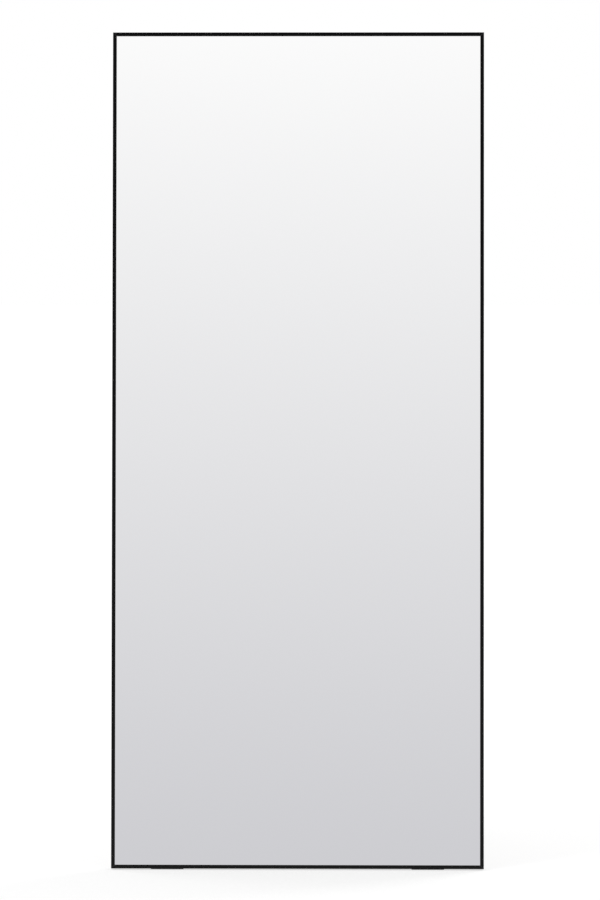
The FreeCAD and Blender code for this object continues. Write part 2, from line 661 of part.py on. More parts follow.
def make_ring(side):
    """A bent wire ring whose bar turns in the strap's eye. It hangs plumb, with a placement of its own."""
    y = f"({SHIFT} + {PIVOT_DEPTH} * {COSINE} + {PIVOT_HEIGHT} * {SINE})"
    z = f"({LIFT} - {PIVOT_DEPTH} * {SINE} + {PIVOT_HEIGHT} * {COSINE})"
    pivot = f"vector({side.across(FLANGE_MIDDLE)}; {y}; {z})"
    body = new_body(side.name + "_ring", f"placement({pivot}; rotation(vector(1; 0; 0); 0))")
    path = new_sketch(body, body.Name + "_path", "XZ")
    draw_ring_path(path)
    section = new_sketch(body, body.Name + "_section", "YZ")
    draw_circle(section, ("0", "0"), "Sizes.ring_wire")
    pipe = body.newObject("PartDesign::AdditivePipe", body.Name + "_wire")
    pipe.Profile = (section, [""])
    pipe.Spine = (path, [""])
    doc.recompute()


# ---------------------------------------------------------------- rubber bumpers and feet
def turn_bumper(body, middle, height, face):
    """The round body, stem and barb of a bumper, turned about its centre line up to the depth of its face."""
    profile = new_sketch(body, body.Name + "_profile", "YZ", middle)
    base, stem, barb = "Sizes.bumper_base / 2", "Sizes.stem_diameter / 2", "Sizes.barb_diameter / 2"
    radii = [
        (f"{CAVITY_REAR} - Sizes.barb_length", "0"),
        (f"{CAVITY_REAR} - Sizes.barb_length", f"{barb} - Sizes.barb_taper"),
        (CAVITY_REAR, barb),
        (CAVITY_REAR, stem),
        (REAR_FACE, stem),
        (REAR_FACE, base),
        (face, f"{base} - Sizes.bumper_taper"),
        (face, "0"),
    ]
    draw_outline(profile, [(depth, f"{height} + {radius}") for depth, radius in radii])
    turned = body.newObject("PartDesign::Revolution", body.Name + "_turned")
    turned.Profile = (profile, [""])
    centre_line = Part.LineSegment(Vector(0, number(height), 0), Vector(1, number(height), 0))
    axis = profile.addGeometry(centre_line, True)
    pin_down(profile, axis, 1, ("0", height))
    pin_down(profile, axis, 2, ("1", height))
    turned.ReferenceAxis = (profile, ["Axis0"])
    turned.Angle = 360
    doc.recompute()


def cut_to_wall(body, middle, height):
    """Cuts the face of an upper bumper to the plane of the wall."""
    wall = new_sketch(body, body.Name + "_wall_plane", "YZ", middle)
    reach = "Sizes.bumper_base"
    beyond = f"({REAR_FACE} + 3 * Sizes.bumper_height)"

    def wall_depth(rise):
        return f"({REAR_FACE} + Sizes.bumper_height - ({rise}) * tan(Sizes.lean_angle))"

    draw_outline(wall, [
        (wall_depth(f"-{reach}"), f"{height} - {reach}"),
        (wall_depth(reach), f"{height} + {reach}"),
        (beyond, f"{height} + {reach}"),
        (beyond, f"{height} - {reach}"),
    ])
    pocket(body, wall, "2 * Sizes.bumper_base", midplane=True)


def make_bumper(side, name, height, on_wall):
    """A push-in rubber bumper at a height on a stile. The upper ones meet the wall when the mirror leans."""
    body = new_body(name)
    middle = side.across(FLANGE_MIDDLE)
    face = f"({REAR_FACE} + Sizes.bumper_height)"
    if on_wall:
        turn_bumper(body, middle, height, f"({face} + Sizes.bumper_base * tan(Sizes.lean_angle))")
        cut_to_wall(body, middle, height)
    else:
        turn_bumper(body, middle, height, face)
    half_way = number(f"{REAR_FACE} + Sizes.bumper_height / 2")
    soften(body, "Fillet", "Sizes.bumper_edge_radius", lambda point: point.y > half_way)


def make_foot(sign, name):
    """A push-in rubber foot, wedge shaped, so that its sole lies flat on the floor when the mirror leans."""
    body = new_body(name)
    middle = f"({sign} * {FOOT_REACH})"
    front = f"({TUNNEL_MIDDLE} - Sizes.foot_depth / 2)"
    rear = f"({TUNNEL_MIDDLE} + Sizes.foot_depth / 2)"

    def sole(depth):
        return f"-(Sizes.foot_heel + ({REAR_FACE} - {depth}) * tan(Sizes.lean_angle))"

    wedge = new_sketch(body, name + "_wedge", "YZ", middle)
    draw_outline(wedge, [(front, "0"), (rear, "0"), (rear, sole(rear)), (front, sole(front))])
    pad(body, wedge, "Sizes.foot_length", midplane=True)
    corners = [
        along_line(x=number(f"{middle} + {end} * Sizes.foot_length / 2"), y=number(depth))
        for end in (-1, 1)
        for depth in (front, rear)
    ]
    soften(body, "Fillet", "min(Sizes.foot_corner_radius; Sizes.foot_depth / 3)", *corners)
    stems = new_sketch(body, name + "_stems", "XY")
    barbs = new_sketch(body, name + "_barbs", "XY", "Sizes.rail_wall")
    for place in foot_stem_places(sign):
        draw_circle(stems, place, "Sizes.stem_diameter")
        draw_circle(barbs, place, "Sizes.barb_diameter")
    pad(body, stems, "Sizes.rail_wall")
    barb = pad(body, barbs, "Sizes.barb_length")
    barb.setExpression("TaperAngle", "-atan(Sizes.barb_taper / Sizes.barb_length)")
    doc.recompute()


# ---------------------------------------------------------------- build
def build():
    make_rail(LEFT, "left_stile")
    make_rail(RIGHT, "right_stile")
    make_rail(BOTTOM, "bottom_rail")
    make_rail(TOP, "top_rail")
    for corner in CORNERS:
        make_corner_key(corner)
        make_screws(
            corner.name + "_key_screws", corner.screw_places(), REAR_FACE,
            f"{CAVITY_REAR} - Sizes.key_clearance - Sizes.key_screw_grip",
            "Sizes.key_screw_shank", "Sizes.key_screw_head", "Sizes.key_screw_head_height",
        )
    make_mirror_glass()
    film_inset = f"({GLASS_INSET} + Sizes.film_margin)"
    make_sheet("safety_film", FILM_FRONT, "Sizes.film_thickness", film_inset)
    make_mounting_tape()
    make_sheet("backing_board", BOARD_FRONT, "Sizes.board_thickness", GLASS_INSET)
    for side in SIDES:
        make_gasket(side)
        make_edge_blocks(side)
        make_spring_clips(side)
    for side in (LEFT, RIGHT):
        make_strap(side)
        make_screws(
            side.name + "_strap_screws", strap_screw_places(side), STRAP_FACE,
            f"{CAVITY_REAR} - Sizes.strap_screw_tip",
            "Sizes.strap_screw_shank", "Sizes.strap_screw_head", "Sizes.strap_screw_head_height",
        )
        make_ring(side)
        make_bumper(side, side.name + "_wall_bumper", UPPER_BUMPER, True)
        make_bumper(side, side.name + "_lower_bumper", LOWER_BUMPER, False)
    make_foot(-1, "left_foot")
    make_foot(1, "right_foot")
    doc.recompute()


def check_and_export():
    """Stops on anything that failed to build, then writes one STEP file for each sub-part."""
    for item in doc.Objects:
        if "Invalid" in item.State or "Error" in item.State:
            raise RuntimeError(f"{item.Label} failed: {item.State}")
    for body in bodies:
        if body.Shape.isNull() or not body.Shape.isValid() or not body.Shape.Solids:
            raise RuntimeError(f"{body.Label} has no valid shape")
    os.makedirs("parts", exist_ok=True)
    for body in bodies:
        body.Shape.exportStep(os.path.join("parts", body.Label + ".step"))
        print(f"{body.Label}: {len(body.Shape.Solids)} solids, {body.Shape.Volume:.1f} mm3")


build()
check_and_export()
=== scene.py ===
"""Leaning floor mirror: finishes, fasteners and rubber parts over the construction model, and a white studio.

Run as a script. Every length is in metres and every place is in the construction model's own frame: +Z up,
-Y towards the viewer and the mirror leaning back from upright. Local places are written as (x, depth, height):
depth counts from the frame's face towards its rear, and height runs along the face from the bottom rail.
"""

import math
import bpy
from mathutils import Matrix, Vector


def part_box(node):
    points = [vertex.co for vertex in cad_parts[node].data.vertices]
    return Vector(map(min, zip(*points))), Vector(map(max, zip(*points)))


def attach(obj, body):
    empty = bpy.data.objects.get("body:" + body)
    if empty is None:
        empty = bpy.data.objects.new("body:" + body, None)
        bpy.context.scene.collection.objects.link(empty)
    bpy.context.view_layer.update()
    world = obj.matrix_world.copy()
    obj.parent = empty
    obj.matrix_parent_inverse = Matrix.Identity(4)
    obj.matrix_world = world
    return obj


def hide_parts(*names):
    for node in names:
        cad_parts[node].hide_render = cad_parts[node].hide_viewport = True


bl_info = {
    "name": "Leaning Floor Mirror",
    "version": (1, 0, 0),
    "blender": (4, 5, 0),
    "location": "3D View > Sidebar > Floor Mirror",
    "description": "Finishes, fasteners, rubber parts and studio for a leaning floor mirror",
    "category": "Object",
}

import bmesh
import bpy
from bpy.props import FloatProperty, FloatVectorProperty, IntProperty, PointerProperty
from mathutils import Matrix, Vector

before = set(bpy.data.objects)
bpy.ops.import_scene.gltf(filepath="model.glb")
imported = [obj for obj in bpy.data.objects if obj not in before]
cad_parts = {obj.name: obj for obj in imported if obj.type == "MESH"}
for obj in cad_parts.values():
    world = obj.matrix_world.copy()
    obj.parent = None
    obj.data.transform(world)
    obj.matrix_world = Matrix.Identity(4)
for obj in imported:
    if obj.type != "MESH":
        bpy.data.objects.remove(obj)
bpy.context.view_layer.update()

# ------------------------------------------------------------------ places, from the construction sizes
SIDES = {"left": -1, "right": 1}
EDGES = ("left", "right", "bottom", "top")
CORNERS = [f"{end}_{side}" for end in ("top", "bottom") for side in SIDES]

FRAME_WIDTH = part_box("top_rail")[1].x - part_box("top_rail")[0].x
FRAME_HEIGHT = 1.8
EDGE_ROUND = 0.0008  # rounding of the frame's outer edges
GLASS_RIM = 0.0044  # the glass's ground edge lies within this much of the frame's outside
FLANGE_MIDDLE = 0.009  # middle of the rear face of a rail, from the frame's outside

# Depths behind the frame's face.
BOARD_REAR = 0.0106
TUNNEL_FRONT = 0.0134
REAR_FACE = 0.025
STRAP_FACE = 0.0274

# Heights along the face, and the runs of the corner screws along each rail and stile from the outer corner.
BUMPER_LEVELS = {"lower": 0.09, "wall": 1.71}
STRAP_SCREWS = (1.3594, 1.3759)
KEY_SCREWS = (0.028, 0.046)

# The origin lies midway between the frame's lower front edge and the wall that the upper bumpers touch.
LEAN = math.radians(4.5)
HEEL = 0.001  # rubber under the frame's rear edge
BUMPER_HEIGHT = 0.011
SHIFT = -(
    (REAR_FACE + BUMPER_HEIGHT) * math.cos(LEAN)
    + BUMPER_LEVELS["wall"] * math.sin(LEAN)
    + EDGE_ROUND * (math.cos(LEAN) + math.sin(LEAN) - 1)
) / 2
LIFT = REAR_FACE * math.sin(LEAN) + HEEL * math.cos(LEAN)
LEANING = Matrix.Translation((0, SHIFT, LIFT)) @ Matrix.Rotation(-LEAN, 4, "X")

# ------------------------------------------------------------------ fine shapes
SHARP_ANGLE = 32  # degrees between faces, past which an edge is shaded sharp

KEY_SHANK = {"Shank": 0.0039, "Shank length": 0.00675}
STRAP_SHANK = {"Shank": 0.0035, "Shank length": 0.008}
HEAD_FACETS = {"Segments": 40, "Rings": 24}
SHANK_FACETS = 20
PAN_FLATNESS = -0.58  # powers that draw a ball out into a pan head
PAN_RISE = 0.55
RECESS_TAPER = (0.45, 1.25)  # length of a recess blade at its tip and its other end, as shares of the span

CLIP_COUNTS = {"rail": 3, "stile": 5}
CLIP_INSET = 0.015  # from the frame's outside to a clip's middle line
CLIP_ENDS = 0.15  # from the frame's corner to the middle of the first clip
CLIP_FACETS = {"Vertices X": 81, "Vertices Y": 9, "Vertices Z": 2}
CLIP_ROUND = 0.0025  # length over which a clip's ends round off
CLIP_NARROWING = 0.16  # share of the clip's width that it loses at its ends

STEM_RADIUS, STEM_LENGTH = 0.002, 0.0016
BARB_RADIUS, BARB_TIP, BARB_END = 0.0027, 0.0017, 0.0041
FACE_RINGS = (0.00475, 0.0030, 0.0013)  # radii of the rings moulded in a bumper's face
# A ring's groove from its outside in: offset from its radius, and share of its depth.
RING_SHAPE = ((0.00055, 0.0), (0.0003, 0.85), (0.0, 1.0), (-0.0003, 0.85), (-0.00055, 0.0))
BUMPER_FACETS = 56
CURVE_STEPS = 5

# ------------------------------------------------------------------ studio
FLOOR_HALF = 60  # half the floor's side
FLOOR_GLOW = (1.0, 9.0, 0.64, 0.83)  # the glow's strength from the first distance to the second
COVE_START = 0.3  # share of the wall's distance at which the floor starts to run into it

# The round wall: its strength, its foot, and the height and rise of the dome that closes it.
WALL_STRENGTH = 1.06
WALL_FOOT, WALL_SPRING, WALL_DOME = -1.0, 3.4, 3.0
WALL_FACETS, DOME_STEPS = 96, 12
SEEN_SPAN = (0.22, 2.95)  # where the mirror's foot and its top reflect the wall
SEEN_FALL = 1.15  # power of the fall of light between these
# Soft panels: from one place to another, their strength goes from the third value to the fourth.
PANEL_BEHIND = (-2.0, 4.5, 0.06, 0.75)
PANEL_BESIDE = (3.6, 5.4, 0.0, 1.1)
PANEL_HEIGHT = (0.4, 2.6, 0.25, 1.0)

LIGHT_AIM = (0.0, 0.0, 0.9)
LIGHT_SIZE = 2.6
LIGHTS = {  # place and watts
    "key_light": ((-3.4, -3.6, 4.2), 130),
    "fill_light": ((3.8, -2.6, 2.6), 60),
    "rear_key_light": ((3.2, 3.6, 4.0), 130),
    "rear_fill_light": ((-3.8, 2.8, 2.4), 60),
}
CAMERA_REACH = (0.1, 200)  # nearest and furthest that the camera sees

NOISE_SPAN = (0.35, 0.65)  # where most values of a noise in layers lie


# ------------------------------------------------------------------ colours and scales
def linear(code):
    """An sRGB hex colour as linear red, green, blue and alpha."""
    parts = [int(code[i : i + 2], 16) / 255 for i in (1, 3, 5)]
    return (*[c / 12.92 if c <= 0.04045 else ((c + 0.055) / 1.055) ** 2.4 for c in parts], 1.0)


def shade(rgb, factors=(1, 1, 1)):
    """A user's colour with alpha, its red, green and blue made darker or paler by these factors."""
    return (*[part * factor for part, factor in zip(rgb, factors)], 1.0)


def per_metre(millimetres):
    """The scale of a pattern whose cells are this many millimetres across."""
    return 1000 / millimetres


# ------------------------------------------------------------------ sizes and colours a user may change
def length(name, description, default):
    """A size that a user may change, in metres."""
    return FloatProperty(
        name=name, description=description, default=default, min=0, subtype="DISTANCE", unit="LENGTH", precision=5
    )


def colour(name, description, code):
    """A colour that a user may change, given as an sRGB hex code."""
    return FloatVectorProperty(
        name=name, description=description, default=linear(code)[:3], size=3, min=0, max=1, subtype="COLOR"
    )


class MirrorSizes(bpy.types.PropertyGroup):
    """Sizes of the screws, clips and bumpers"""

    key_head: length("Corner screw head", "Diameter of a corner screw's pan head", 0.0075)
    key_head_height: length("Corner head height", "Height of a corner screw's pan head", 0.0026)
    strap_head: length("Strap screw head", "Diameter of a strap screw's pan head", 0.0069)
    strap_head_height: length("Strap head height", "Height of a strap screw's pan head", 0.0024)
    recess_span: length("Recess span", "Length of the cross recess", 0.0042)
    recess_width: length("Recess width", "Width of the cross recess", 0.0009)
    recess_depth: length("Recess depth", "Depth of the cross recess", 0.0015)
    clip_length: length("Clip length", "Length of a bowed board clip along its rail", 0.05)
    clip_width: length("Clip width", "Width of a bowed board clip across its rail", 0.016)
    clip_steel: length("Clip steel", "Thickness of the clips' spring steel", 0.0005)
    clip_crown: length("Clip crown", "Length of the flat top of the bow", 0.012)
    clip_foot: length("Clip foot", "Length of each flat foot", 0.008)
    bumper_base: length("Bumper base", "Diameter of a bumper at the frame", 0.016)
    bumper_taper: length("Bumper taper", "How much smaller its radius is at its face", 0.0015)
    bumper_edge: length("Bumper edge", "Rounding of the bumper's face", 0.0008)
    groove_depth: length("Groove depth", "Depth of the moulded rings in a bumper's face", 0.0006)
    turn_seed: IntProperty(name="Screw turn", description="Seed for the turn of each screw's recess", default=7)


class MirrorColours(bpy.types.PropertyGroup):
    """Colours of the finishes"""

    coat: colour("Frame coat", "Black powder coat of the frame", "#070708")
    # The mitre line's colour: partly the coat pulled back at the cut, partly a painted highlight of the joint's
    # edges.
    seam: colour("Mitre seam", "Coat where it pulls back from the mitre", "#2E2E30")
    silver: colour("Silvering", "What the silvered glass returns of white light", "#F5F5F5")
    glass_edge: colour("Glass edge", "Ground edge of the float glass", "#6F8C80")
    board: colour("Board", "Tempered hardboard", "#6F5945")
    board_dark: colour("Board fibres", "Darker fibres in the hardboard", "#4A3829")
    zinc: colour("Zinc plating", "Bright zinc-plated steel", "#C4C6C8")
    spring: colour("Spring steel", "Oil-blacked spring steel", "#6E7076")
    rubber: colour("Rubber", "Moulded black rubber", "#1B1B1C")


class MirrorStudio(bpy.types.PropertyGroup):
    """Camera, wall and light of the studio"""

    lens: FloatProperty(
        name="Lens", description="Focal length on a 36 mm sensor", default=223.18, min=1,
        subtype="DISTANCE_CAMERA", unit="CAMERA",
    )
    camera_place: FloatVectorProperty(
        name="Camera", description="Where the camera stands", size=3,
        default=(0.2132, -12.0, 1.4517), subtype="TRANSLATION", unit="LENGTH",
    )
    camera_aim: FloatVectorProperty(
        name="Aim", description="The point at the middle of the picture", size=3,
        default=(0.0043, 0.0, 0.8986), subtype="TRANSLATION", unit="LENGTH",
    )
    wall_distance: length("Wall distance", "Radius of the round studio wall that the mirror reflects", 6.0)
    wall_low: colour("Wall, low", "What the foot of the mirror reflects", "#D0D0D4")
    wall_high: colour("Wall, high", "What the top of the mirror reflects", "#FFFFFF")
    ambient: FloatProperty(
        name="Ambient", description="Strength of the even light from all round", default=0.62, min=0
    )


# ------------------------------------------------------------------ nodes and meshes
def add_node(tree, kind, inputs=(), **settings):
    """Adds a node with its settings. Its inputs come in order or by name. Each is a value, an output socket,
    a node that stands for its first output, or a list of these where one input takes several links."""
    node = tree.nodes.new(kind)
    for name, value in settings.items():
        setattr(node, name, value)
    for key, given in inputs.items() if isinstance(inputs, dict) else enumerate(inputs):
        for value in given if isinstance(given, list) else [given]:
            if isinstance(value, bpy.types.Node):
                value = value.outputs[0]
            if isinstance(value, bpy.types.NodeSocket):
                tree.links.new(value, node.inputs[key])
            else:
                node.inputs[key].default_value = value
    return node


def start_material(name, leaning=True):
    """A material with an empty tree, and a point's place in it: upright in the mirror as (x, depth, height),
    or as it stands in the room."""
    material = bpy.data.materials.new(name)
    material.use_nodes = True
    tree = material.node_tree
    tree.nodes.clear()
    place = add_node(tree, "ShaderNodeTexCoord").outputs["Object"]
    if leaning:
        upright = {"Vector": place, "Location": (0, SHIFT, LIFT), "Rotation": (-LEAN, 0, 0)}
        place = add_node(tree, "ShaderNodeMapping", upright, vector_type="TEXTURE").outputs[0]
    return material, tree, place


def from_edges(tree, upright):
    """How far a point lies in from the frame's nearer side, and from its nearer end."""
    middle = (0, 0, FRAME_HEIGHT / 2)
    offset = add_node(tree, "ShaderNodeVectorMath", (upright, middle), operation="SUBTRACT")
    offset = add_node(tree, "ShaderNodeVectorMath", (offset,), operation="ABSOLUTE")
    outside = (FRAME_WIDTH / 2, 0, FRAME_HEIGHT / 2)
    inset = add_node(tree, "ShaderNodeVectorMath", (outside, offset), operation="SUBTRACT")
    parts = add_node(tree, "ShaderNodeSeparateXYZ", (inset,)).outputs
    return parts["X"], parts["Z"]


def new_object(name, mesh):
    """Adds an object with this data to the scene."""
    obj = bpy.data.objects.new(name, mesh)
    bpy.context.scene.collection.objects.link(obj)
    return obj


def finish_mesh(mesh, material=None):
    """Shades a mesh smooth between its sharp edges, and adds its material where one is given."""
    mesh.shade_smooth()
    mesh.set_sharp_from_angle(angle=math.radians(SHARP_ANGLE))
    if material:
        mesh.materials.append(material)


def mesh_from(bm, name, material):
    """Makes a mesh with outward faces from a bmesh, and frees the bmesh."""
    bmesh.ops.recalc_face_normals(bm, faces=bm.faces)
    mesh = bpy.data.meshes.new(name)
    bm.to_mesh(mesh)
    bm.free()
    finish_mesh(mesh, material)
    return mesh


def skin_rings(bm, rings):
    """Joins rings of equal count with quads, from the first ring to the last."""
    for lower, upper in zip(rings, rings[1:]):
        count = len(lower)
        for step in range(count):
            after = (step + 1) % count
            bm.faces.new((lower[step], lower[after], upper[after], upper[step]))


def paint(material, *nodes):
    """Gives construction nodes a material."""
    for name in nodes:
        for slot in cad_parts[name].material_slots:
            slot.material = material


# ------------------------------------------------------------------ materials
def powder_coated_aluminium(colours):
    """Extruded aluminium under a fine black powder coat, which gives a near-black satin with a faint grain, and a
    paler line along each mitre that is partly a painted highlight.
    """
    material, tree, upright = start_material("powder_coated_aluminium")
    # The coat's orange peel is about 0.4 mm across, drawn 1.5 mm so that it shows.
    peel = add_node(tree, "ShaderNodeTexNoise", {"Vector": upright, "Scale": per_metre(1.5), "Detail": 2.0})
    cloud = add_node(tree, "ShaderNodeTexNoise", {"Vector": upright, "Scale": per_metre(110), "Detail": 3.0})
    # The coat pulls back a little along the mitres, a seam of about 0.3 mm, drawn 1 mm wide. Its paler grey is
    # partly that seam and partly a painted highlight of the joint's edges.
    off_mitre = add_node(tree, "ShaderNodeMath", from_edges(tree, upright), operation="SUBTRACT")
    off_mitre = add_node(tree, "ShaderNodeMath", (off_mitre,), operation="ABSOLUTE")
    seam = add_node(tree, "ShaderNodeMapRange", (off_mitre, 0.0004, 0.0009, 1.0, 0.0))
    tones = {"Factor": seam, "A": shade(colours.coat), "B": shade(colours.seam)}
    coat = add_node(tree, "ShaderNodeMix", tones, data_type="RGBA")
    shader = add_node(tree, "ShaderNodeBsdfPrincipled", {
        "Base Color": coat.outputs["Result"],
        "Roughness": add_node(tree, "ShaderNodeMapRange", (cloud, *NOISE_SPAN, 0.38, 0.47)),
        "Specular IOR Level": 0.25,
        "Normal": add_node(tree, "ShaderNodeBump", {"Height": peel, "Strength": 0.3, "Distance": 0.00004}),
    })
    add_node(tree, "ShaderNodeOutputMaterial", (shader,))
    return material


def silvered_float_glass(colours):
    """Float glass silvered on its back: a clean cool-white mirror with a greenish ground edge."""
    material, tree, upright = start_material("silvered_float_glass")
    # Float glass has slight waves from the rollers, about 180 mm apart.
    waves = add_node(tree, "ShaderNodeTexNoise", {"Vector": upright, "Scale": per_metre(180), "Detail": 0.0})
    inset = add_node(tree, "ShaderNodeMath", from_edges(tree, upright), operation="MINIMUM")
    edge = add_node(tree, "ShaderNodeMath", (inset, GLASS_RIM), operation="LESS_THAN")
    tones = {"Factor": edge, "A": shade(colours.silver), "B": shade(colours.glass_edge)}
    tint = add_node(tree, "ShaderNodeMix", tones, data_type="RGBA")
    shader = add_node(tree, "ShaderNodeBsdfPrincipled", {
        "Base Color": tint.outputs["Result"],
        "Metallic": 1.0,
        "Roughness": 0.0,
        "Normal": add_node(tree, "ShaderNodeBump", {"Height": waves, "Strength": 0.06, "Distance": 0.0008}),
    })
    add_node(tree, "ShaderNodeOutputMaterial", (shader,))
    return material


def tempered_hardboard(colours):
    """Pressed wood fibre with the press screen's print on its back, which gives a dull, finely pitted brown."""
    material, tree, upright = start_material("tempered_hardboard")
    # Fibres are 1 to 3 mm long and drawn 4 to 6 mm, in three crossing lies.
    fibres = []
    for turn in (0.3, 1.4, 2.4):
        spread = {"Vector": upright, "Rotation": (0, turn, 0), "Scale": (0.0016, 0.0016, 0.0055)}
        lie = add_node(tree, "ShaderNodeMapping", spread, vector_type="TEXTURE")
        noise = {"Vector": lie, "Scale": 1.0, "Detail": 4.0, "Roughness": 0.6}
        fibres.append(add_node(tree, "ShaderNodeTexNoise", noise))
    felt = add_node(tree, "ShaderNodeMath", fibres[:2], operation="ADD")
    felt = add_node(tree, "ShaderNodeMath", (felt, fibres[2]), operation="ADD")
    felt = add_node(tree, "ShaderNodeMath", (felt, 3.0), operation="DIVIDE")
    cloud = add_node(tree, "ShaderNodeTexNoise", {"Vector": upright, "Scale": per_metre(140), "Detail": 3.0})
    amount = add_node(tree, "ShaderNodeMath", (cloud, 0.12, felt), operation="MULTIPLY_ADD")
    amount = add_node(tree, "ShaderNodeMapRange", (amount, 0.46, 0.66))
    tones = {"Factor": amount, "A": shade(colours.board_dark), "B": shade(colours.board)}
    brown = add_node(tree, "ShaderNodeMix", tones, data_type="RGBA")
    # The screen's mesh is 1.6 mm, drawn 4 mm so that it shows.
    pitch = {"Vector": upright, "Scale": math.tau * per_metre(4)}
    waves = add_node(tree, "ShaderNodeVectorMath", pitch, operation="SCALE")
    waves = add_node(tree, "ShaderNodeVectorMath", (waves,), operation="SINE")
    along = add_node(tree, "ShaderNodeSeparateXYZ", (waves,)).outputs
    screen = add_node(tree, "ShaderNodeMath", (along["X"], along["Z"]), operation="MULTIPLY")
    relief = add_node(tree, "ShaderNodeMath", (felt, 2.0, screen), operation="MULTIPLY_ADD")
    shader = add_node(tree, "ShaderNodeBsdfPrincipled", {
        "Base Color": brown.outputs["Result"],
        "Roughness": 0.82,
        "Specular IOR Level": 0.3,
        "Normal": add_node(tree, "ShaderNodeBump", {"Height": relief, "Strength": 0.6, "Distance": 0.0003}),
    })
    add_node(tree, "ShaderNodeOutputMaterial", (shader,))
    return material


def zinc_plated_steel(colours, name="zinc_plated_steel"):
    """Stamped or rolled steel with bright zinc plating, which gives a pale, slightly clouded metal."""
    material, tree, upright = start_material(name)
    cloud = add_node(tree, "ShaderNodeTexNoise", {"Vector": upright, "Scale": per_metre(4.2), "Detail": 4.0})
    tones = {"Factor": cloud, "A": shade(colours.zinc), "B": shade(colours.zinc, (0.82, 0.82, 0.86))}
    plating = add_node(tree, "ShaderNodeMix", tones, data_type="RGBA")
    # Plated grains are far under 0.1 mm, drawn 0.6 mm.
    grain = add_node(tree, "ShaderNodeTexNoise", {"Vector": upright, "Scale": per_metre(0.6), "Detail": 0.0})
    shader = add_node(tree, "ShaderNodeBsdfPrincipled", {
        "Base Color": plating.outputs["Result"],
        "Metallic": 1.0,
        "Roughness": add_node(tree, "ShaderNodeMapRange", (cloud, *NOISE_SPAN, 0.24, 0.4)),
        "Normal": add_node(tree, "ShaderNodeBump", {"Height": grain, "Strength": 0.1, "Distance": 0.00002}),
    })
    add_node(tree, "ShaderNodeOutputMaterial", (shader,))
    return material


def blacked_spring_steel(colours):
    """Rolled spring steel, oil-blacked, which gives a dark metal with fine rolling lines."""
    material, tree, upright = start_material("blacked_spring_steel")
    # Rolling lines are about 0.1 mm apart, drawn 0.8 mm, and run on for about 17 mm.
    stretch = {"Vector": upright, "Scale": (per_metre(0.8), per_metre(0.8), per_metre(17))}
    stretch = add_node(tree, "ShaderNodeMapping", stretch)
    lines = add_node(tree, "ShaderNodeTexNoise", {"Vector": stretch, "Scale": 1.0, "Detail": 3.0})
    tones = {"Factor": lines, "A": shade(colours.spring), "B": shade(colours.spring, (0.7, 0.7, 0.7))}
    blacking = add_node(tree, "ShaderNodeMix", tones, data_type="RGBA")
    shader = add_node(tree, "ShaderNodeBsdfPrincipled", {
        "Base Color": blacking.outputs["Result"],
        "Metallic": 1.0,
        "Roughness": add_node(tree, "ShaderNodeMapRange", (lines, *NOISE_SPAN, 0.3, 0.46)),
        "Normal": add_node(tree, "ShaderNodeBump", {"Height": lines, "Strength": 0.2, "Distance": 0.00003}),
    })
    add_node(tree, "ShaderNodeOutputMaterial", (shader,))
    return material


def moulded_rubber(colours, name, roughness):
    """Moulded black rubber, which gives a soft dark grey with a fine spark-eroded grain."""
    material, tree, upright = start_material(name)
    # The mould's grain is about 0.15 mm, drawn 1.1 mm. A faint bloom lies over it in patches.
    grain = add_node(tree, "ShaderNodeTexNoise", {"Vector": upright, "Scale": per_metre(1.1), "Detail": 3.0})
    bloom = add_node(tree, "ShaderNodeTexNoise", {"Vector": upright, "Scale": per_metre(17), "Detail": 3.0})
    tones = {"Factor": bloom, "A": shade(colours.rubber), "B": shade(colours.rubber, (1.7, 1.7, 1.7))}
    black = add_node(tree, "ShaderNodeMix", tones, data_type="RGBA")
    dullness = (bloom, *NOISE_SPAN, roughness - 0.06, roughness + 0.08)
    shader = add_node(tree, "ShaderNodeBsdfPrincipled", {
        "Base Color": black.outputs["Result"],
        "Roughness": add_node(tree, "ShaderNodeMapRange", dullness),
        "IOR": 1.52,
        "Specular IOR Level": 0.4,
        "Normal": add_node(tree, "ShaderNodeBump", {"Height": grain, "Strength": 0.35, "Distance": 0.00006}),
    })
    add_node(tree, "ShaderNodeOutputMaterial", (shader,))
    return material


def closed_cell_foam(name, code, dark_code, cell):
    """Closed-cell polyethylene foam, cut from a sheet, which gives a matte surface of small pores."""
    material, tree, upright = start_material(name)
    cells = add_node(tree, "ShaderNodeTexVoronoi", {"Vector": upright, "Scale": per_metre(cell)})
    tones = {"Factor": cells, "A": linear(dark_code), "B": linear(code)}
    tone = add_node(tree, "ShaderNodeMix", tones, data_type="RGBA")
    shader = add_node(tree, "ShaderNodeBsdfPrincipled", {
        "Base Color": tone.outputs["Result"],
        "Roughness": 0.9,
        "Specular IOR Level": 0.25,
        "Normal": add_node(tree, "ShaderNodeBump", {"Height": cells, "Strength": 0.5, "Distance": 0.0002}),
    })
    add_node(tree, "ShaderNodeOutputMaterial", (shader,))
    return material


def safety_backing_film():
    """Polyethylene safety film rolled onto the silvering, which gives a glossy pale grey with small ripples."""
    material, tree, upright = start_material("safety_backing_film")
    ripple = add_node(tree, "ShaderNodeTexNoise", {"Vector": upright, "Scale": per_metre(22), "Detail": 3.0})
    tones = {"Factor": ripple, "A": linear("#B9BBBF"), "B": linear("#CFD1D4")}
    tone = add_node(tree, "ShaderNodeMix", tones, data_type="RGBA")
    shader = add_node(tree, "ShaderNodeBsdfPrincipled", {
        "Base Color": tone.outputs["Result"],
        "Roughness": add_node(tree, "ShaderNodeMapRange", (ripple, *NOISE_SPAN, 0.24, 0.38)),
        "IOR": 1.51,
        "Normal": add_node(tree, "ShaderNodeBump", {"Height": ripple, "Strength": 0.3, "Distance": 0.0002}),
    })
    add_node(tree, "ShaderNodeOutputMaterial", (shader,))
    return material


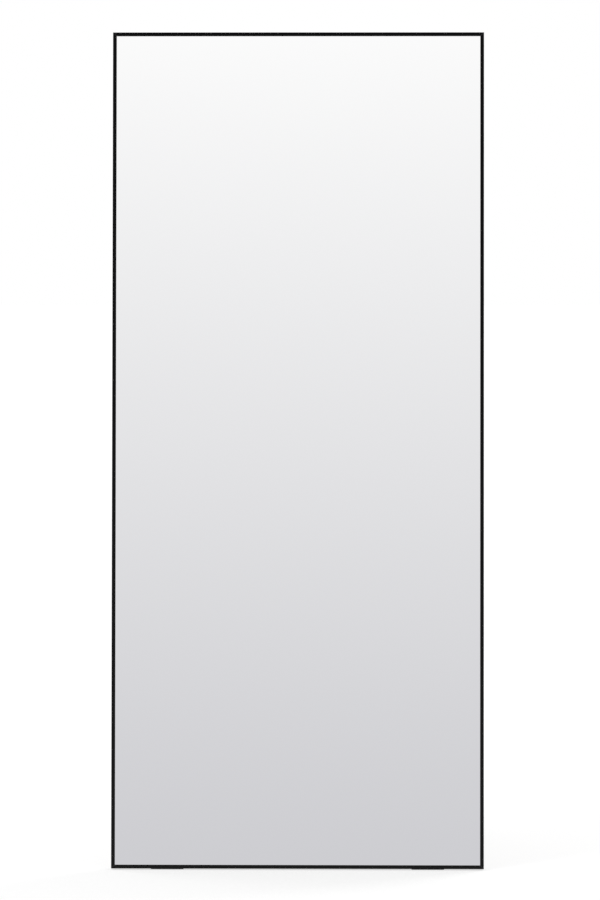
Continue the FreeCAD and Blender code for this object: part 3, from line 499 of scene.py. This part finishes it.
def die_cast_zinc():
    """Die-cast zinc alloy left as cast, which gives a flat mottled grey."""
    material, tree, upright = start_material("die_cast_zinc")
    mottle = add_node(tree, "ShaderNodeTexNoise", {"Vector": upright, "Scale": per_metre(5.5), "Detail": 5.0})
    tones = {"Factor": mottle, "A": linear("#8E9092"), "B": linear("#C2C4C6")}
    tone = add_node(tree, "ShaderNodeMix", tones, data_type="RGBA")
    shader = add_node(tree, "ShaderNodeBsdfPrincipled", {
        "Base Color": tone.outputs["Result"],
        "Metallic": 1.0,
        "Roughness": add_node(tree, "ShaderNodeMapRange", (mottle, *NOISE_SPAN, 0.45, 0.62)),
        "Normal": add_node(tree, "ShaderNodeBump", {"Height": mottle, "Strength": 0.3, "Distance": 0.0001}),
    })
    add_node(tree, "ShaderNodeOutputMaterial", (shader,))
    return material


# ------------------------------------------------------------------ geometry node trees
def start_tree(name, **inputs):
    """A geometry node tree with named inputs, and the outputs of its Group Input."""
    tree = bpy.data.node_groups.new(name, "GeometryNodeTree")
    tree.interface.new_socket(name="Geometry", in_out="INPUT", socket_type="NodeSocketGeometry")
    for label, kind in inputs.items():
        tree.interface.new_socket(name=label.replace("_", " "), in_out="INPUT", socket_type="NodeSocket" + kind)
    tree.interface.new_socket(name="Geometry", in_out="OUTPUT", socket_type="NodeSocketGeometry")
    return tree, add_node(tree, "NodeGroupInput").outputs


def finish_tree(tree, given, shape, turn):
    """Puts the shape on each point with its +Z to the frame's rear, after a turn about it, and finishes it."""
    tip = add_node(tree, "ShaderNodeMath", (-math.pi / 2, given["Lean"]), operation="SUBTRACT")
    turns = []
    for angles in ({"X": tip}, {"Z": turn}):
        euler = add_node(tree, "ShaderNodeCombineXYZ", angles)
        turns.append(add_node(tree, "FunctionNodeEulerToRotation", (euler,)))
    turned = add_node(tree, "FunctionNodeRotateRotation", turns, rotation_space="LOCAL")
    placed = {"Points": given["Geometry"], "Instance": shape, "Rotation": turned}
    placed = add_node(tree, "GeometryNodeInstanceOnPoints", placed)
    real = add_node(tree, "GeometryNodeRealizeInstances", (placed,))
    finished = {"Geometry": real, "Material": given["Finish"]}
    add_node(tree, "NodeGroupOutput", (add_node(tree, "GeometryNodeSetMaterial", finished),))


def pan_screw_tree():
    """Pan-head screws with a tapered cross recess, one on each point, turned at random about their axes."""
    tree, given = start_tree(
        "pan_screws", Head="Float", Head_height="Float", Shank="Float", Shank_length="Float",
        Recess_span="Float", Recess_width="Float", Recess_depth="Float", Lean="Float", Seed="Int",
        Finish="Material",
    )
    # The head is a ball whose upper half is drawn into a pan shape and whose lower half is flat.
    ball = add_node(tree, "GeometryNodeMeshUVSphere", {**HEAD_FACETS, "Radius": 1.0})
    place = add_node(tree, "GeometryNodeInputPosition")
    level = add_node(tree, "ShaderNodeVectorMath", (place, (1, 1, 0)), operation="MULTIPLY")
    reach = add_node(tree, "ShaderNodeVectorMath", (level,), operation="LENGTH").outputs["Value"]
    reach = add_node(tree, "ShaderNodeMath", (reach, 1e-4), operation="MAXIMUM")
    widen = add_node(tree, "ShaderNodeMath", (reach, PAN_FLATNESS), operation="POWER")
    radius = add_node(tree, "ShaderNodeMath", (given["Head"], 0.5), operation="MULTIPLY")
    widen = add_node(tree, "ShaderNodeMath", (widen, radius), operation="MULTIPLY")
    height = add_node(tree, "ShaderNodeSeparateXYZ", (place,)).outputs["Z"]
    rise = add_node(tree, "ShaderNodeMath", (height, 0.0), operation="MAXIMUM")
    rise = add_node(tree, "ShaderNodeMath", (rise, PAN_RISE), operation="POWER")
    rise = add_node(tree, "ShaderNodeMath", (rise, given["Head height"]), operation="MULTIPLY")
    rise = add_node(tree, "ShaderNodeCombineXYZ", {"Z": rise})
    widen = add_node(tree, "ShaderNodeCombineXYZ", (widen, widen))
    pan = add_node(tree, "ShaderNodeVectorMath", (level, widen, rise), operation="MULTIPLY_ADD")
    head = add_node(tree, "GeometryNodeSetPosition", {"Geometry": ball, "Position": pan})
    # Two crossed blades, narrower towards their tips, cut the recess.
    depth = add_node(tree, "ShaderNodeMath", (given["Recess depth"], 2.0), operation="MULTIPLY")
    size = add_node(tree, "ShaderNodeCombineXYZ", (given["Recess span"], given["Recess width"], depth))
    share = add_node(tree, "ShaderNodeMath", (height, given["Recess depth"]), operation="DIVIDE")
    narrow = add_node(tree, "ShaderNodeMapRange", (share, -1.0, 1.0, *RECESS_TAPER))
    narrow = add_node(tree, "ShaderNodeCombineXYZ", (narrow, 1.0, 1.0))
    lift = add_node(tree, "ShaderNodeCombineXYZ", {"Z": given["Head height"]})
    tapered = add_node(tree, "ShaderNodeVectorMath", (place, narrow, lift), operation="MULTIPLY_ADD")
    block = add_node(tree, "GeometryNodeMeshCube", {"Size": size})
    blade = add_node(tree, "GeometryNodeSetPosition", {"Geometry": block, "Position": tapered})
    crossed = add_node(tree, "GeometryNodeTransform", {"Geometry": blade, "Rotation": (0, 0, math.pi / 2)})
    recessed = {"Mesh 1": head, "Mesh 2": [blade, crossed]}
    recessed = add_node(tree, "GeometryNodeMeshBoolean", recessed, operation="DIFFERENCE", solver="EXACT")
    radius = add_node(tree, "ShaderNodeMath", (given["Shank"], 0.5), operation="MULTIPLY")
    shank = {"Vertices": SHANK_FACETS, "Radius": radius, "Depth": given["Shank length"]}
    shank = add_node(tree, "GeometryNodeMeshCylinder", shank)
    sink = add_node(tree, "ShaderNodeMath", (given["Shank length"], -0.5), operation="MULTIPLY")
    sink = add_node(tree, "ShaderNodeCombineXYZ", {"Z": sink})
    shank = add_node(tree, "GeometryNodeTransform", {"Geometry": shank, "Translation": sink})
    screw = add_node(tree, "GeometryNodeJoinGeometry", ([shank, recessed],))
    turn = add_node(tree, "FunctionNodeRandomValue", {"Min": 0.0, "Max": math.pi, "Seed": given["Seed"]})
    finish_tree(tree, given, screw, turn.outputs["Value"])
    return tree


def bowed_clip_tree():
    """Bowed spring clips, one on each point, whose flat feet press the board and whose crown meets the frame."""
    tree, given = start_tree(
        "bowed_clips", Length="Float", Width="Float", Steel="Float", Crown="Float", Foot="Float", Bow="Float",
        Lean="Float", Finish="Material",
    )
    size = add_node(tree, "ShaderNodeCombineXYZ", (given["Length"], given["Width"], given["Steel"]))
    strip = add_node(tree, "GeometryNodeMeshCube", {"Size": size, **CLIP_FACETS})
    place = add_node(tree, "GeometryNodeInputPosition")
    along = add_node(tree, "ShaderNodeSeparateXYZ", (place,)).outputs["X"]
    off = add_node(tree, "ShaderNodeMath", (along,), operation="ABSOLUTE")
    half = add_node(tree, "ShaderNodeMath", (given["Length"], 0.5), operation="MULTIPLY")
    crown = add_node(tree, "ShaderNodeMath", (given["Crown"], 0.5), operation="MULTIPLY")
    foot = add_node(tree, "ShaderNodeMath", (half, given["Foot"]), operation="SUBTRACT")
    bow = (off, crown, foot, given["Bow"], 0.0)
    bow = add_node(tree, "ShaderNodeMapRange", bow, interpolation_type="SMOOTHSTEP")
    # The ends are rounded off.
    start = add_node(tree, "ShaderNodeMath", (half, CLIP_ROUND), operation="SUBTRACT")
    near_end = add_node(tree, "ShaderNodeMapRange", (off, start, half, 0.0, 1.0))
    near_end = add_node(tree, "ShaderNodeMath", (near_end, 3.0), operation="POWER")
    narrow = add_node(tree, "ShaderNodeMath", (near_end, -CLIP_NARROWING, 1.0), operation="MULTIPLY_ADD")
    narrow = add_node(tree, "ShaderNodeCombineXYZ", (1.0, narrow, 1.0))
    bow = add_node(tree, "ShaderNodeCombineXYZ", {"Z": bow})
    bent = add_node(tree, "ShaderNodeVectorMath", (place, narrow, bow), operation="MULTIPLY_ADD")
    clip = add_node(tree, "GeometryNodeSetPosition", {"Geometry": strip, "Position": bent})
    turn = add_node(tree, "GeometryNodeInputNamedAttribute", {"Name": "turn"}, data_type="FLOAT")
    finish_tree(tree, given, clip, turn)
    return tree


def grow(name, tree, places, turns, values):
    """Runs a tree on points, each with a turn, and returns the result as a plain mesh object."""
    mesh = bpy.data.meshes.new(name)
    mesh.from_pydata([tuple(LEANING @ Vector(place)) for place in places], [], [])
    mesh.attributes.new("turn", "FLOAT", "POINT").data.foreach_set("value", turns)
    obj = new_object(name, mesh)
    modifier = obj.modifiers.new("Pieces", "NODES")
    modifier.node_group = tree
    for item in tree.interface.items_tree:
        if item.in_out == "INPUT" and item.name in values:
            modifier[item.identifier] = values[item.name]
    bpy.context.view_layer.update()
    plain = bpy.data.meshes.new_from_object(obj.evaluated_get(bpy.context.evaluated_depsgraph_get()))
    obj.modifiers.clear()
    obj.data = plain
    finish_mesh(plain)
    return obj


# ------------------------------------------------------------------ operators
class MIRROR_OT_frame(bpy.types.Operator):
    """Coats the four mitred sides of the frame"""

    bl_idname = "floor_mirror.frame"
    bl_label = "Frame"

    def execute(self, context):
        coat = powder_coated_aluminium(context.scene.mirror_colours)
        paint(coat, "left_stile", "right_stile", "bottom_rail", "top_rail")
        return {"FINISHED"}


class MIRROR_OT_glass(bpy.types.Operator):
    """Silvers the glass and finishes what lies behind it"""

    bl_idname = "floor_mirror.glass"
    bl_label = "Glass and board"

    def execute(self, context):
        colours = context.scene.mirror_colours
        paint(silvered_float_glass(colours), "mirror_glass")
        paint(safety_backing_film(), "safety_film")
        # The tape's cells are about 0.3 mm, drawn 1.2 mm.
        paint(closed_cell_foam("foam_tape", "#E4E4E2", "#C9C9C6", 1.2), "mounting_tape")
        paint(tempered_hardboard(colours), "backing_board")
        return {"FINISHED"}


class MIRROR_OT_packing(bpy.types.Operator):
    """Finishes the corner keys, the foam gaskets and the rubber edge blocks inside the frame"""

    bl_idname = "floor_mirror.packing"
    bl_label = "Keys, gaskets and blocks"

    def execute(self, context):
        paint(die_cast_zinc(), *[corner + "_corner_key" for corner in CORNERS])
        # The gasket's cells are about 0.2 mm, drawn 0.8 mm.
        gasket = closed_cell_foam("gasket_foam", "#202021", "#121213", 0.8)
        paint(gasket, *[edge + "_lip_gasket" for edge in EDGES])
        blocks = moulded_rubber(context.scene.mirror_colours, "edge_block_rubber", 0.75)
        paint(blocks, *[edge + "_edge_blocks" for edge in EDGES])
        return {"FINISHED"}


class MIRROR_OT_screws(bpy.types.Operator):
    """Grows the corner screws and the strap screws"""

    bl_idname = "floor_mirror.screws"
    bl_label = "Screws"

    def execute(self, context):
        sizes = context.scene.mirror_sizes
        tree = pan_screw_tree()
        values = {
            "Recess span": sizes.recess_span, "Recess width": sizes.recess_width,
            "Recess depth": sizes.recess_depth, "Lean": LEAN, "Seed": sizes.turn_seed,
            "Finish": zinc_plated_steel(context.scene.mirror_colours, "zinc_plated_screws"),
        }
        corner_places, strap_places = [], []
        for sign in SIDES.values():
            flange = sign * (FRAME_WIDTH / 2 - FLANGE_MIDDLE)
            for run in KEY_SCREWS:
                corner_places += [(flange, REAR_FACE, height) for height in (run, FRAME_HEIGHT - run)]
                corner_places += [(sign * (FRAME_WIDTH / 2 - run), REAR_FACE, height)
                                  for height in (FLANGE_MIDDLE, FRAME_HEIGHT - FLANGE_MIDDLE)]
            strap_places += [(flange, STRAP_FACE, height) for height in STRAP_SCREWS]
        corner_size = {"Head": sizes.key_head, "Head height": sizes.key_head_height, **KEY_SHANK}
        strap_size = {"Head": sizes.strap_head, "Head height": sizes.strap_head_height, **STRAP_SHANK}
        for name, places, size, nodes in (
            ("corner_screws", corner_places, corner_size, [corner + "_key_screws" for corner in CORNERS]),
            ("strap_screws", strap_places, strap_size, [side + "_strap_screws" for side in SIDES]),
        ):
            screws = grow(name, tree, places, [0.0] * len(places), {**values, **size})
            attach(screws, "mirror")
            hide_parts(*nodes)
        return {"FINISHED"}


class MIRROR_OT_clips(bpy.types.Operator):
    """Grows the bowed spring clips that press the board forward"""

    bl_idname = "floor_mirror.clips"
    bl_label = "Spring clips"

    def execute(self, context):
        sizes = context.scene.mirror_sizes
        depth = BOARD_REAR + sizes.clip_steel / 2
        places, turns = [], []
        for far, sign in enumerate(SIDES.values()):
            for step in range(CLIP_COUNTS["rail"]):
                x = -FRAME_WIDTH / 2 + CLIP_ENDS + step * (FRAME_WIDTH - 2 * CLIP_ENDS) / (CLIP_COUNTS["rail"] - 1)
                places.append((x, depth, FRAME_HEIGHT - CLIP_INSET if far else CLIP_INSET))
                turns.append(0.0)
            for step in range(CLIP_COUNTS["stile"]):
                height = CLIP_ENDS + step * (FRAME_HEIGHT - 2 * CLIP_ENDS) / (CLIP_COUNTS["stile"] - 1)
                places.append((sign * (FRAME_WIDTH / 2 - CLIP_INSET), depth, height))
                turns.append(math.pi / 2)
        clips = grow("board_clips", bowed_clip_tree(), places, turns, {
            "Length": sizes.clip_length, "Width": sizes.clip_width, "Steel": sizes.clip_steel,
            "Crown": sizes.clip_crown, "Foot": sizes.clip_foot, "Lean": LEAN,
            "Bow": TUNNEL_FRONT - BOARD_REAR - sizes.clip_steel,
            "Finish": blacked_spring_steel(context.scene.mirror_colours),
        })
        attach(clips, "mirror")
        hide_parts(*[edge + "_spring_clips" for edge in EDGES])
        return {"FINISHED"}


class MIRROR_OT_hangers(bpy.types.Operator):
    """Plates the hanger straps and their swinging rings"""

    bl_idname = "floor_mirror.hangers"
    bl_label = "Hangers"

    def execute(self, context):
        plating = zinc_plated_steel(context.scene.mirror_colours)
        paint(plating, *[side + piece for side in SIDES for piece in ("_hanger_strap", "_ring")])
        return {"FINISHED"}


def add_bumper(bm, sizes, x, height, leaning):
    """One bumper: a push-in stem with a barb, a tapered side and a face with moulded rings. The face is plumb
    where the bumper leans on the wall, and square to the stem elsewhere."""
    base, edge = sizes.bumper_base / 2, sizes.bumper_edge
    slope = math.tan(LEAN) if leaning else 0.0
    full = BUMPER_HEIGHT + sizes.bumper_base * slope
    top = base - sizes.bumper_taper * BUMPER_HEIGHT / full
    # Each ring of the outline: radius, share of the bumper's height, and how far it lies under that.
    outline = [
        (BARB_TIP, 0.0, BARB_END), (BARB_RADIUS, 0.0, STEM_LENGTH), (STEM_RADIUS, 0.0, STEM_LENGTH),
        (STEM_RADIUS, 0.0, 0.0), (base, 0.0, 0.0),
    ]
    for step in range(1, CURVE_STEPS + 1):
        share = step / CURVE_STEPS
        outline.append((base + (top - base) * share, share, edge * share))
    for step in range(1, CURVE_STEPS + 1):
        angle = step / CURVE_STEPS * math.pi / 2
        outline.append((top - edge * (1 - math.cos(angle)), 1.0, edge * (1 - math.sin(angle))))
    for ring in FACE_RINGS:
        outline += [(ring + offset, 1.0, sizes.groove_depth * share) for offset, share in RING_SHAPE]
    rings = []
    for radius, share, under in outline:
        ring = []
        for step in range(BUMPER_FACETS):
            angle = step / BUMPER_FACETS * math.tau
            across, up = radius * math.cos(angle), radius * math.sin(angle)
            rise = share * (BUMPER_HEIGHT - up * slope) - under
            ring.append(bm.verts.new(LEANING @ Vector((x + across, REAR_FACE + rise, height + up))))
        rings.append(ring)
    skin_rings(bm, rings)
    bm.faces.new(rings[0])
    bm.faces.new(rings[-1])


class MIRROR_OT_bumpers(bpy.types.Operator):
    """Moulds the four rubber bumpers behind the stiles"""

    bl_idname = "floor_mirror.bumpers"
    bl_label = "Bumpers"

    def execute(self, context):
        rubber = moulded_rubber(context.scene.mirror_colours, "moulded_rubber", 0.68)
        for side, sign in SIDES.items():
            for name, height in BUMPER_LEVELS.items():
                bm = bmesh.new()
                x = sign * (FRAME_WIDTH / 2 - FLANGE_MIDDLE)
                add_bumper(bm, context.scene.mirror_sizes, x, height, name == "wall")
                node = f"{side}_{name}_bumper"
                bumper = new_object(node + "_moulded", mesh_from(bm, node, rubber))
                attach(bumper, "mirror")
                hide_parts(node)
        return {"FINISHED"}


class MIRROR_OT_feet(bpy.types.Operator):
    """Finishes the two wedge-shaped rubber feet"""

    bl_idname = "floor_mirror.feet"
    bl_label = "Feet"

    def execute(self, context):
        rubber = moulded_rubber(context.scene.mirror_colours, "foot_rubber", 0.7)
        paint(rubber, "left_foot", "right_foot")
        return {"FINISHED"}


# ------------------------------------------------------------------ studio
def studio_floor(studio):
    """A pale matte floor, white to the camera where no shadow lies on it. The mirror sees it as it is lit, and
    it runs into the foot of the wall without an edge."""
    material, tree, place = start_material("studio_floor", leaning=False)
    path = add_node(tree, "ShaderNodeLightPath").outputs
    seen = (path["Is Camera Ray"], path["Is Glossy Ray"])
    seen = add_node(tree, "ShaderNodeMath", seen, operation="ADD", use_clamp=True)
    seen = (seen, path["Is Transmission Ray"])
    seen = add_node(tree, "ShaderNodeMath", seen, operation="ADD", use_clamp=True)
    reach = add_node(tree, "ShaderNodeVectorMath", (place,), operation="LENGTH").outputs["Value"]
    pale = add_node(tree, "ShaderNodeBsdfDiffuse", {"Color": linear("#E6E6E6")})
    cove = (reach, studio.wall_distance * COVE_START, studio.wall_distance)
    cove = add_node(tree, "ShaderNodeMapRange", cove, interpolation_type="SMOOTHSTEP")
    foot = add_node(tree, "ShaderNodeEmission", {"Color": shade(studio.wall_low), "Strength": WALL_STRENGTH})
    mirrored = add_node(tree, "ShaderNodeMixShader", (cove, pale, foot))
    # The lamps light only the middle of the floor, so the glow that whitens it grows away from there.
    dim = add_node(tree, "ShaderNodeBsdfDiffuse", {"Color": linear("#A0A0A0")})
    glow = add_node(tree, "ShaderNodeMapRange", (reach, *FLOOR_GLOW))
    glow = add_node(tree, "ShaderNodeEmission", {"Strength": glow})
    plain = add_node(tree, "ShaderNodeAddShader", (dim, glow))
    surface = add_node(tree, "ShaderNodeMixShader", (seen, pale, plain))
    surface = add_node(tree, "ShaderNodeMixShader", (path["Is Singular Ray"], surface, mirrored))
    # Its underside is clear, so that the mirror can be looked at from below.
    clear = add_node(tree, "ShaderNodeBsdfTransparent")
    under = add_node(tree, "ShaderNodeNewGeometry").outputs["Backfacing"]
    sided = add_node(tree, "ShaderNodeMixShader", (under, surface, clear))
    add_node(tree, "ShaderNodeOutputMaterial", (sided,))
    return material


def studio_wall(studio):
    """The round wall that only reflections see: an even fall of light for the mirror, and soft panels for the
    satin metals, away from the front so that the black frame stays black."""
    material, tree, place = start_material("studio_wall", leaning=False)
    x, y, z = add_node(tree, "ShaderNodeSeparateXYZ", (place,)).outputs
    rise = add_node(tree, "ShaderNodeMapRange", (z, *SEEN_SPAN))
    rise = add_node(tree, "ShaderNodeMath", (rise, SEEN_FALL), operation="POWER")
    fall = {"Factor": rise, "A": shade(studio.wall_low), "B": shade(studio.wall_high)}
    fall = add_node(tree, "ShaderNodeMix", fall, data_type="RGBA").outputs["Result"]
    clean = add_node(tree, "ShaderNodeEmission", {"Color": fall, "Strength": WALL_STRENGTH})
    across = add_node(tree, "ShaderNodeMath", (x,), operation="ABSOLUTE")
    behind, beside, high = [
        add_node(tree, "ShaderNodeMapRange", span, interpolation_type="SMOOTHSTEP")
        for span in ((y, *PANEL_BEHIND), (across, *PANEL_BESIDE), (z, *PANEL_HEIGHT))
    ]
    level = add_node(tree, "ShaderNodeMath", (behind, beside), operation="MAXIMUM")
    level = add_node(tree, "ShaderNodeMath", (level, high), operation="MULTIPLY")
    soft = add_node(tree, "ShaderNodeEmission", {"Strength": level})
    mirror_ray = add_node(tree, "ShaderNodeLightPath").outputs["Is Singular Ray"]
    both = add_node(tree, "ShaderNodeMixShader", (mirror_ray, soft, clean))
    add_node(tree, "ShaderNodeOutputMaterial", (both,))
    return material


def add_round_wall(bm, radius):
    """An upright drum that closes over in a low dome."""
    outline = [(radius, WALL_FOOT), (radius, WALL_SPRING)]
    for step in range(1, DOME_STEPS):
        angle = step / DOME_STEPS * math.pi / 2
        outline.append((radius * math.cos(angle), WALL_SPRING + WALL_DOME * math.sin(angle)))
    turns = [math.tau * step / WALL_FACETS for step in range(WALL_FACETS)]
    rings = [[bm.verts.new((r * math.cos(turn), r * math.sin(turn), z)) for turn in turns] for r, z in outline]
    skin_rings(bm, rings)
    bm.faces.new(rings[-1])


def aim_at(obj, place, aim):
    """Stands a lamp or a camera at a place and turns it towards another."""
    obj.location = place
    obj.rotation_euler = (Vector(aim) - Vector(place)).to_track_quat("-Z", "Y").to_euler()


class MIRROR_OT_studio(bpy.types.Operator):
    """Sets the white floor, the wall that the mirror reflects, the soft lights and the camera"""

    bl_idname = "floor_mirror.studio"
    bl_label = "Studio"

    def execute(self, context):
        scene = context.scene
        studio = scene.mirror_studio
        bm = bmesh.new()
        bmesh.ops.create_grid(bm, x_segments=1, y_segments=1, size=FLOOR_HALF)
        floor = new_object("studio_floor", mesh_from(bm, "studio_floor", studio_floor(studio)))
        bm = bmesh.new()
        add_round_wall(bm, studio.wall_distance)
        wall = new_object("studio_wall", mesh_from(bm, "studio_wall", studio_wall(studio)))
        for ray in ("camera", "diffuse", "transmission", "volume_scatter", "shadow"):
            setattr(wall, "visible_" + ray, False)

        world = scene.world or bpy.data.worlds.new("studio")
        scene.world = world
        world.use_nodes = True
        world.cycles_visibility.glossy = False
        tree = world.node_tree
        tree.nodes.clear()
        seen = add_node(tree, "ShaderNodeLightPath").outputs["Is Camera Ray"]
        strength = add_node(tree, "ShaderNodeMapRange", {"Value": seen, "To Min": studio.ambient, "To Max": 1.0})
        white = add_node(tree, "ShaderNodeBackground", {"Color": (1, 1, 1, 1), "Strength": strength})
        add_node(tree, "ShaderNodeOutputWorld", (white,))

        for name, (place, energy) in LIGHTS.items():
            light = bpy.data.lights.new(name, "AREA")
            light.shape, light.size, light.energy = "DISK", LIGHT_SIZE, energy
            lamp = new_object(name, light)
            aim_at(lamp, place, LIGHT_AIM)
            lamp.visible_camera = lamp.visible_glossy = False

        camera = new_object("photo_camera", bpy.data.cameras.new("photo_camera"))
        camera.data.lens = studio.lens
        camera.data.clip_start, camera.data.clip_end = CAMERA_REACH
        aim_at(camera, studio.camera_place, studio.camera_aim)
        scene.camera = camera
        scene.view_settings.view_transform = "Standard"
        return {"FINISHED"}


# ------------------------------------------------------------------ panel and registration
OPERATORS = (
    MIRROR_OT_frame, MIRROR_OT_glass, MIRROR_OT_packing, MIRROR_OT_screws, MIRROR_OT_clips, MIRROR_OT_hangers,
    MIRROR_OT_bumpers, MIRROR_OT_feet, MIRROR_OT_studio,
)
GROUPS = {"mirror_sizes": MirrorSizes, "mirror_colours": MirrorColours, "mirror_studio": MirrorStudio}


class MIRROR_PT_sidebar(bpy.types.Panel):
    """Lists the sizes, the colours and the steps that dress the mirror"""

    bl_idname = "MIRROR_PT_sidebar"
    bl_label = "Leaning Floor Mirror"
    bl_space_type = "VIEW_3D"
    bl_region_type = "UI"
    bl_category = "Floor Mirror"

    def draw(self, context):
        for group_name in GROUPS:
            group = getattr(context.scene, group_name)
            box = self.layout.box()
            for name in group.__annotations__:
                box.prop(group, name)
        for operator in OPERATORS:
            self.layout.operator(operator.bl_idname)


CLASSES = (*GROUPS.values(), *OPERATORS, MIRROR_PT_sidebar)


def register():
    """Adds the classes, and their groups of properties to the scene."""
    for cls in CLASSES:
        bpy.utils.register_class(cls)
    for name, group in GROUPS.items():
        setattr(bpy.types.Scene, name, PointerProperty(type=group))


def unregister():
    """Takes away what register adds."""
    for name in GROUPS:
        delattr(bpy.types.Scene, name)
    for cls in reversed(CLASSES):
        bpy.utils.unregister_class(cls)


def main():
    """Dresses the mirror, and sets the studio."""
    register()
    for operator in OPERATORS:
        getattr(bpy.ops.floor_mirror, operator.bl_idname.split(".")[1])()


if __name__ == "__main__":
    main()
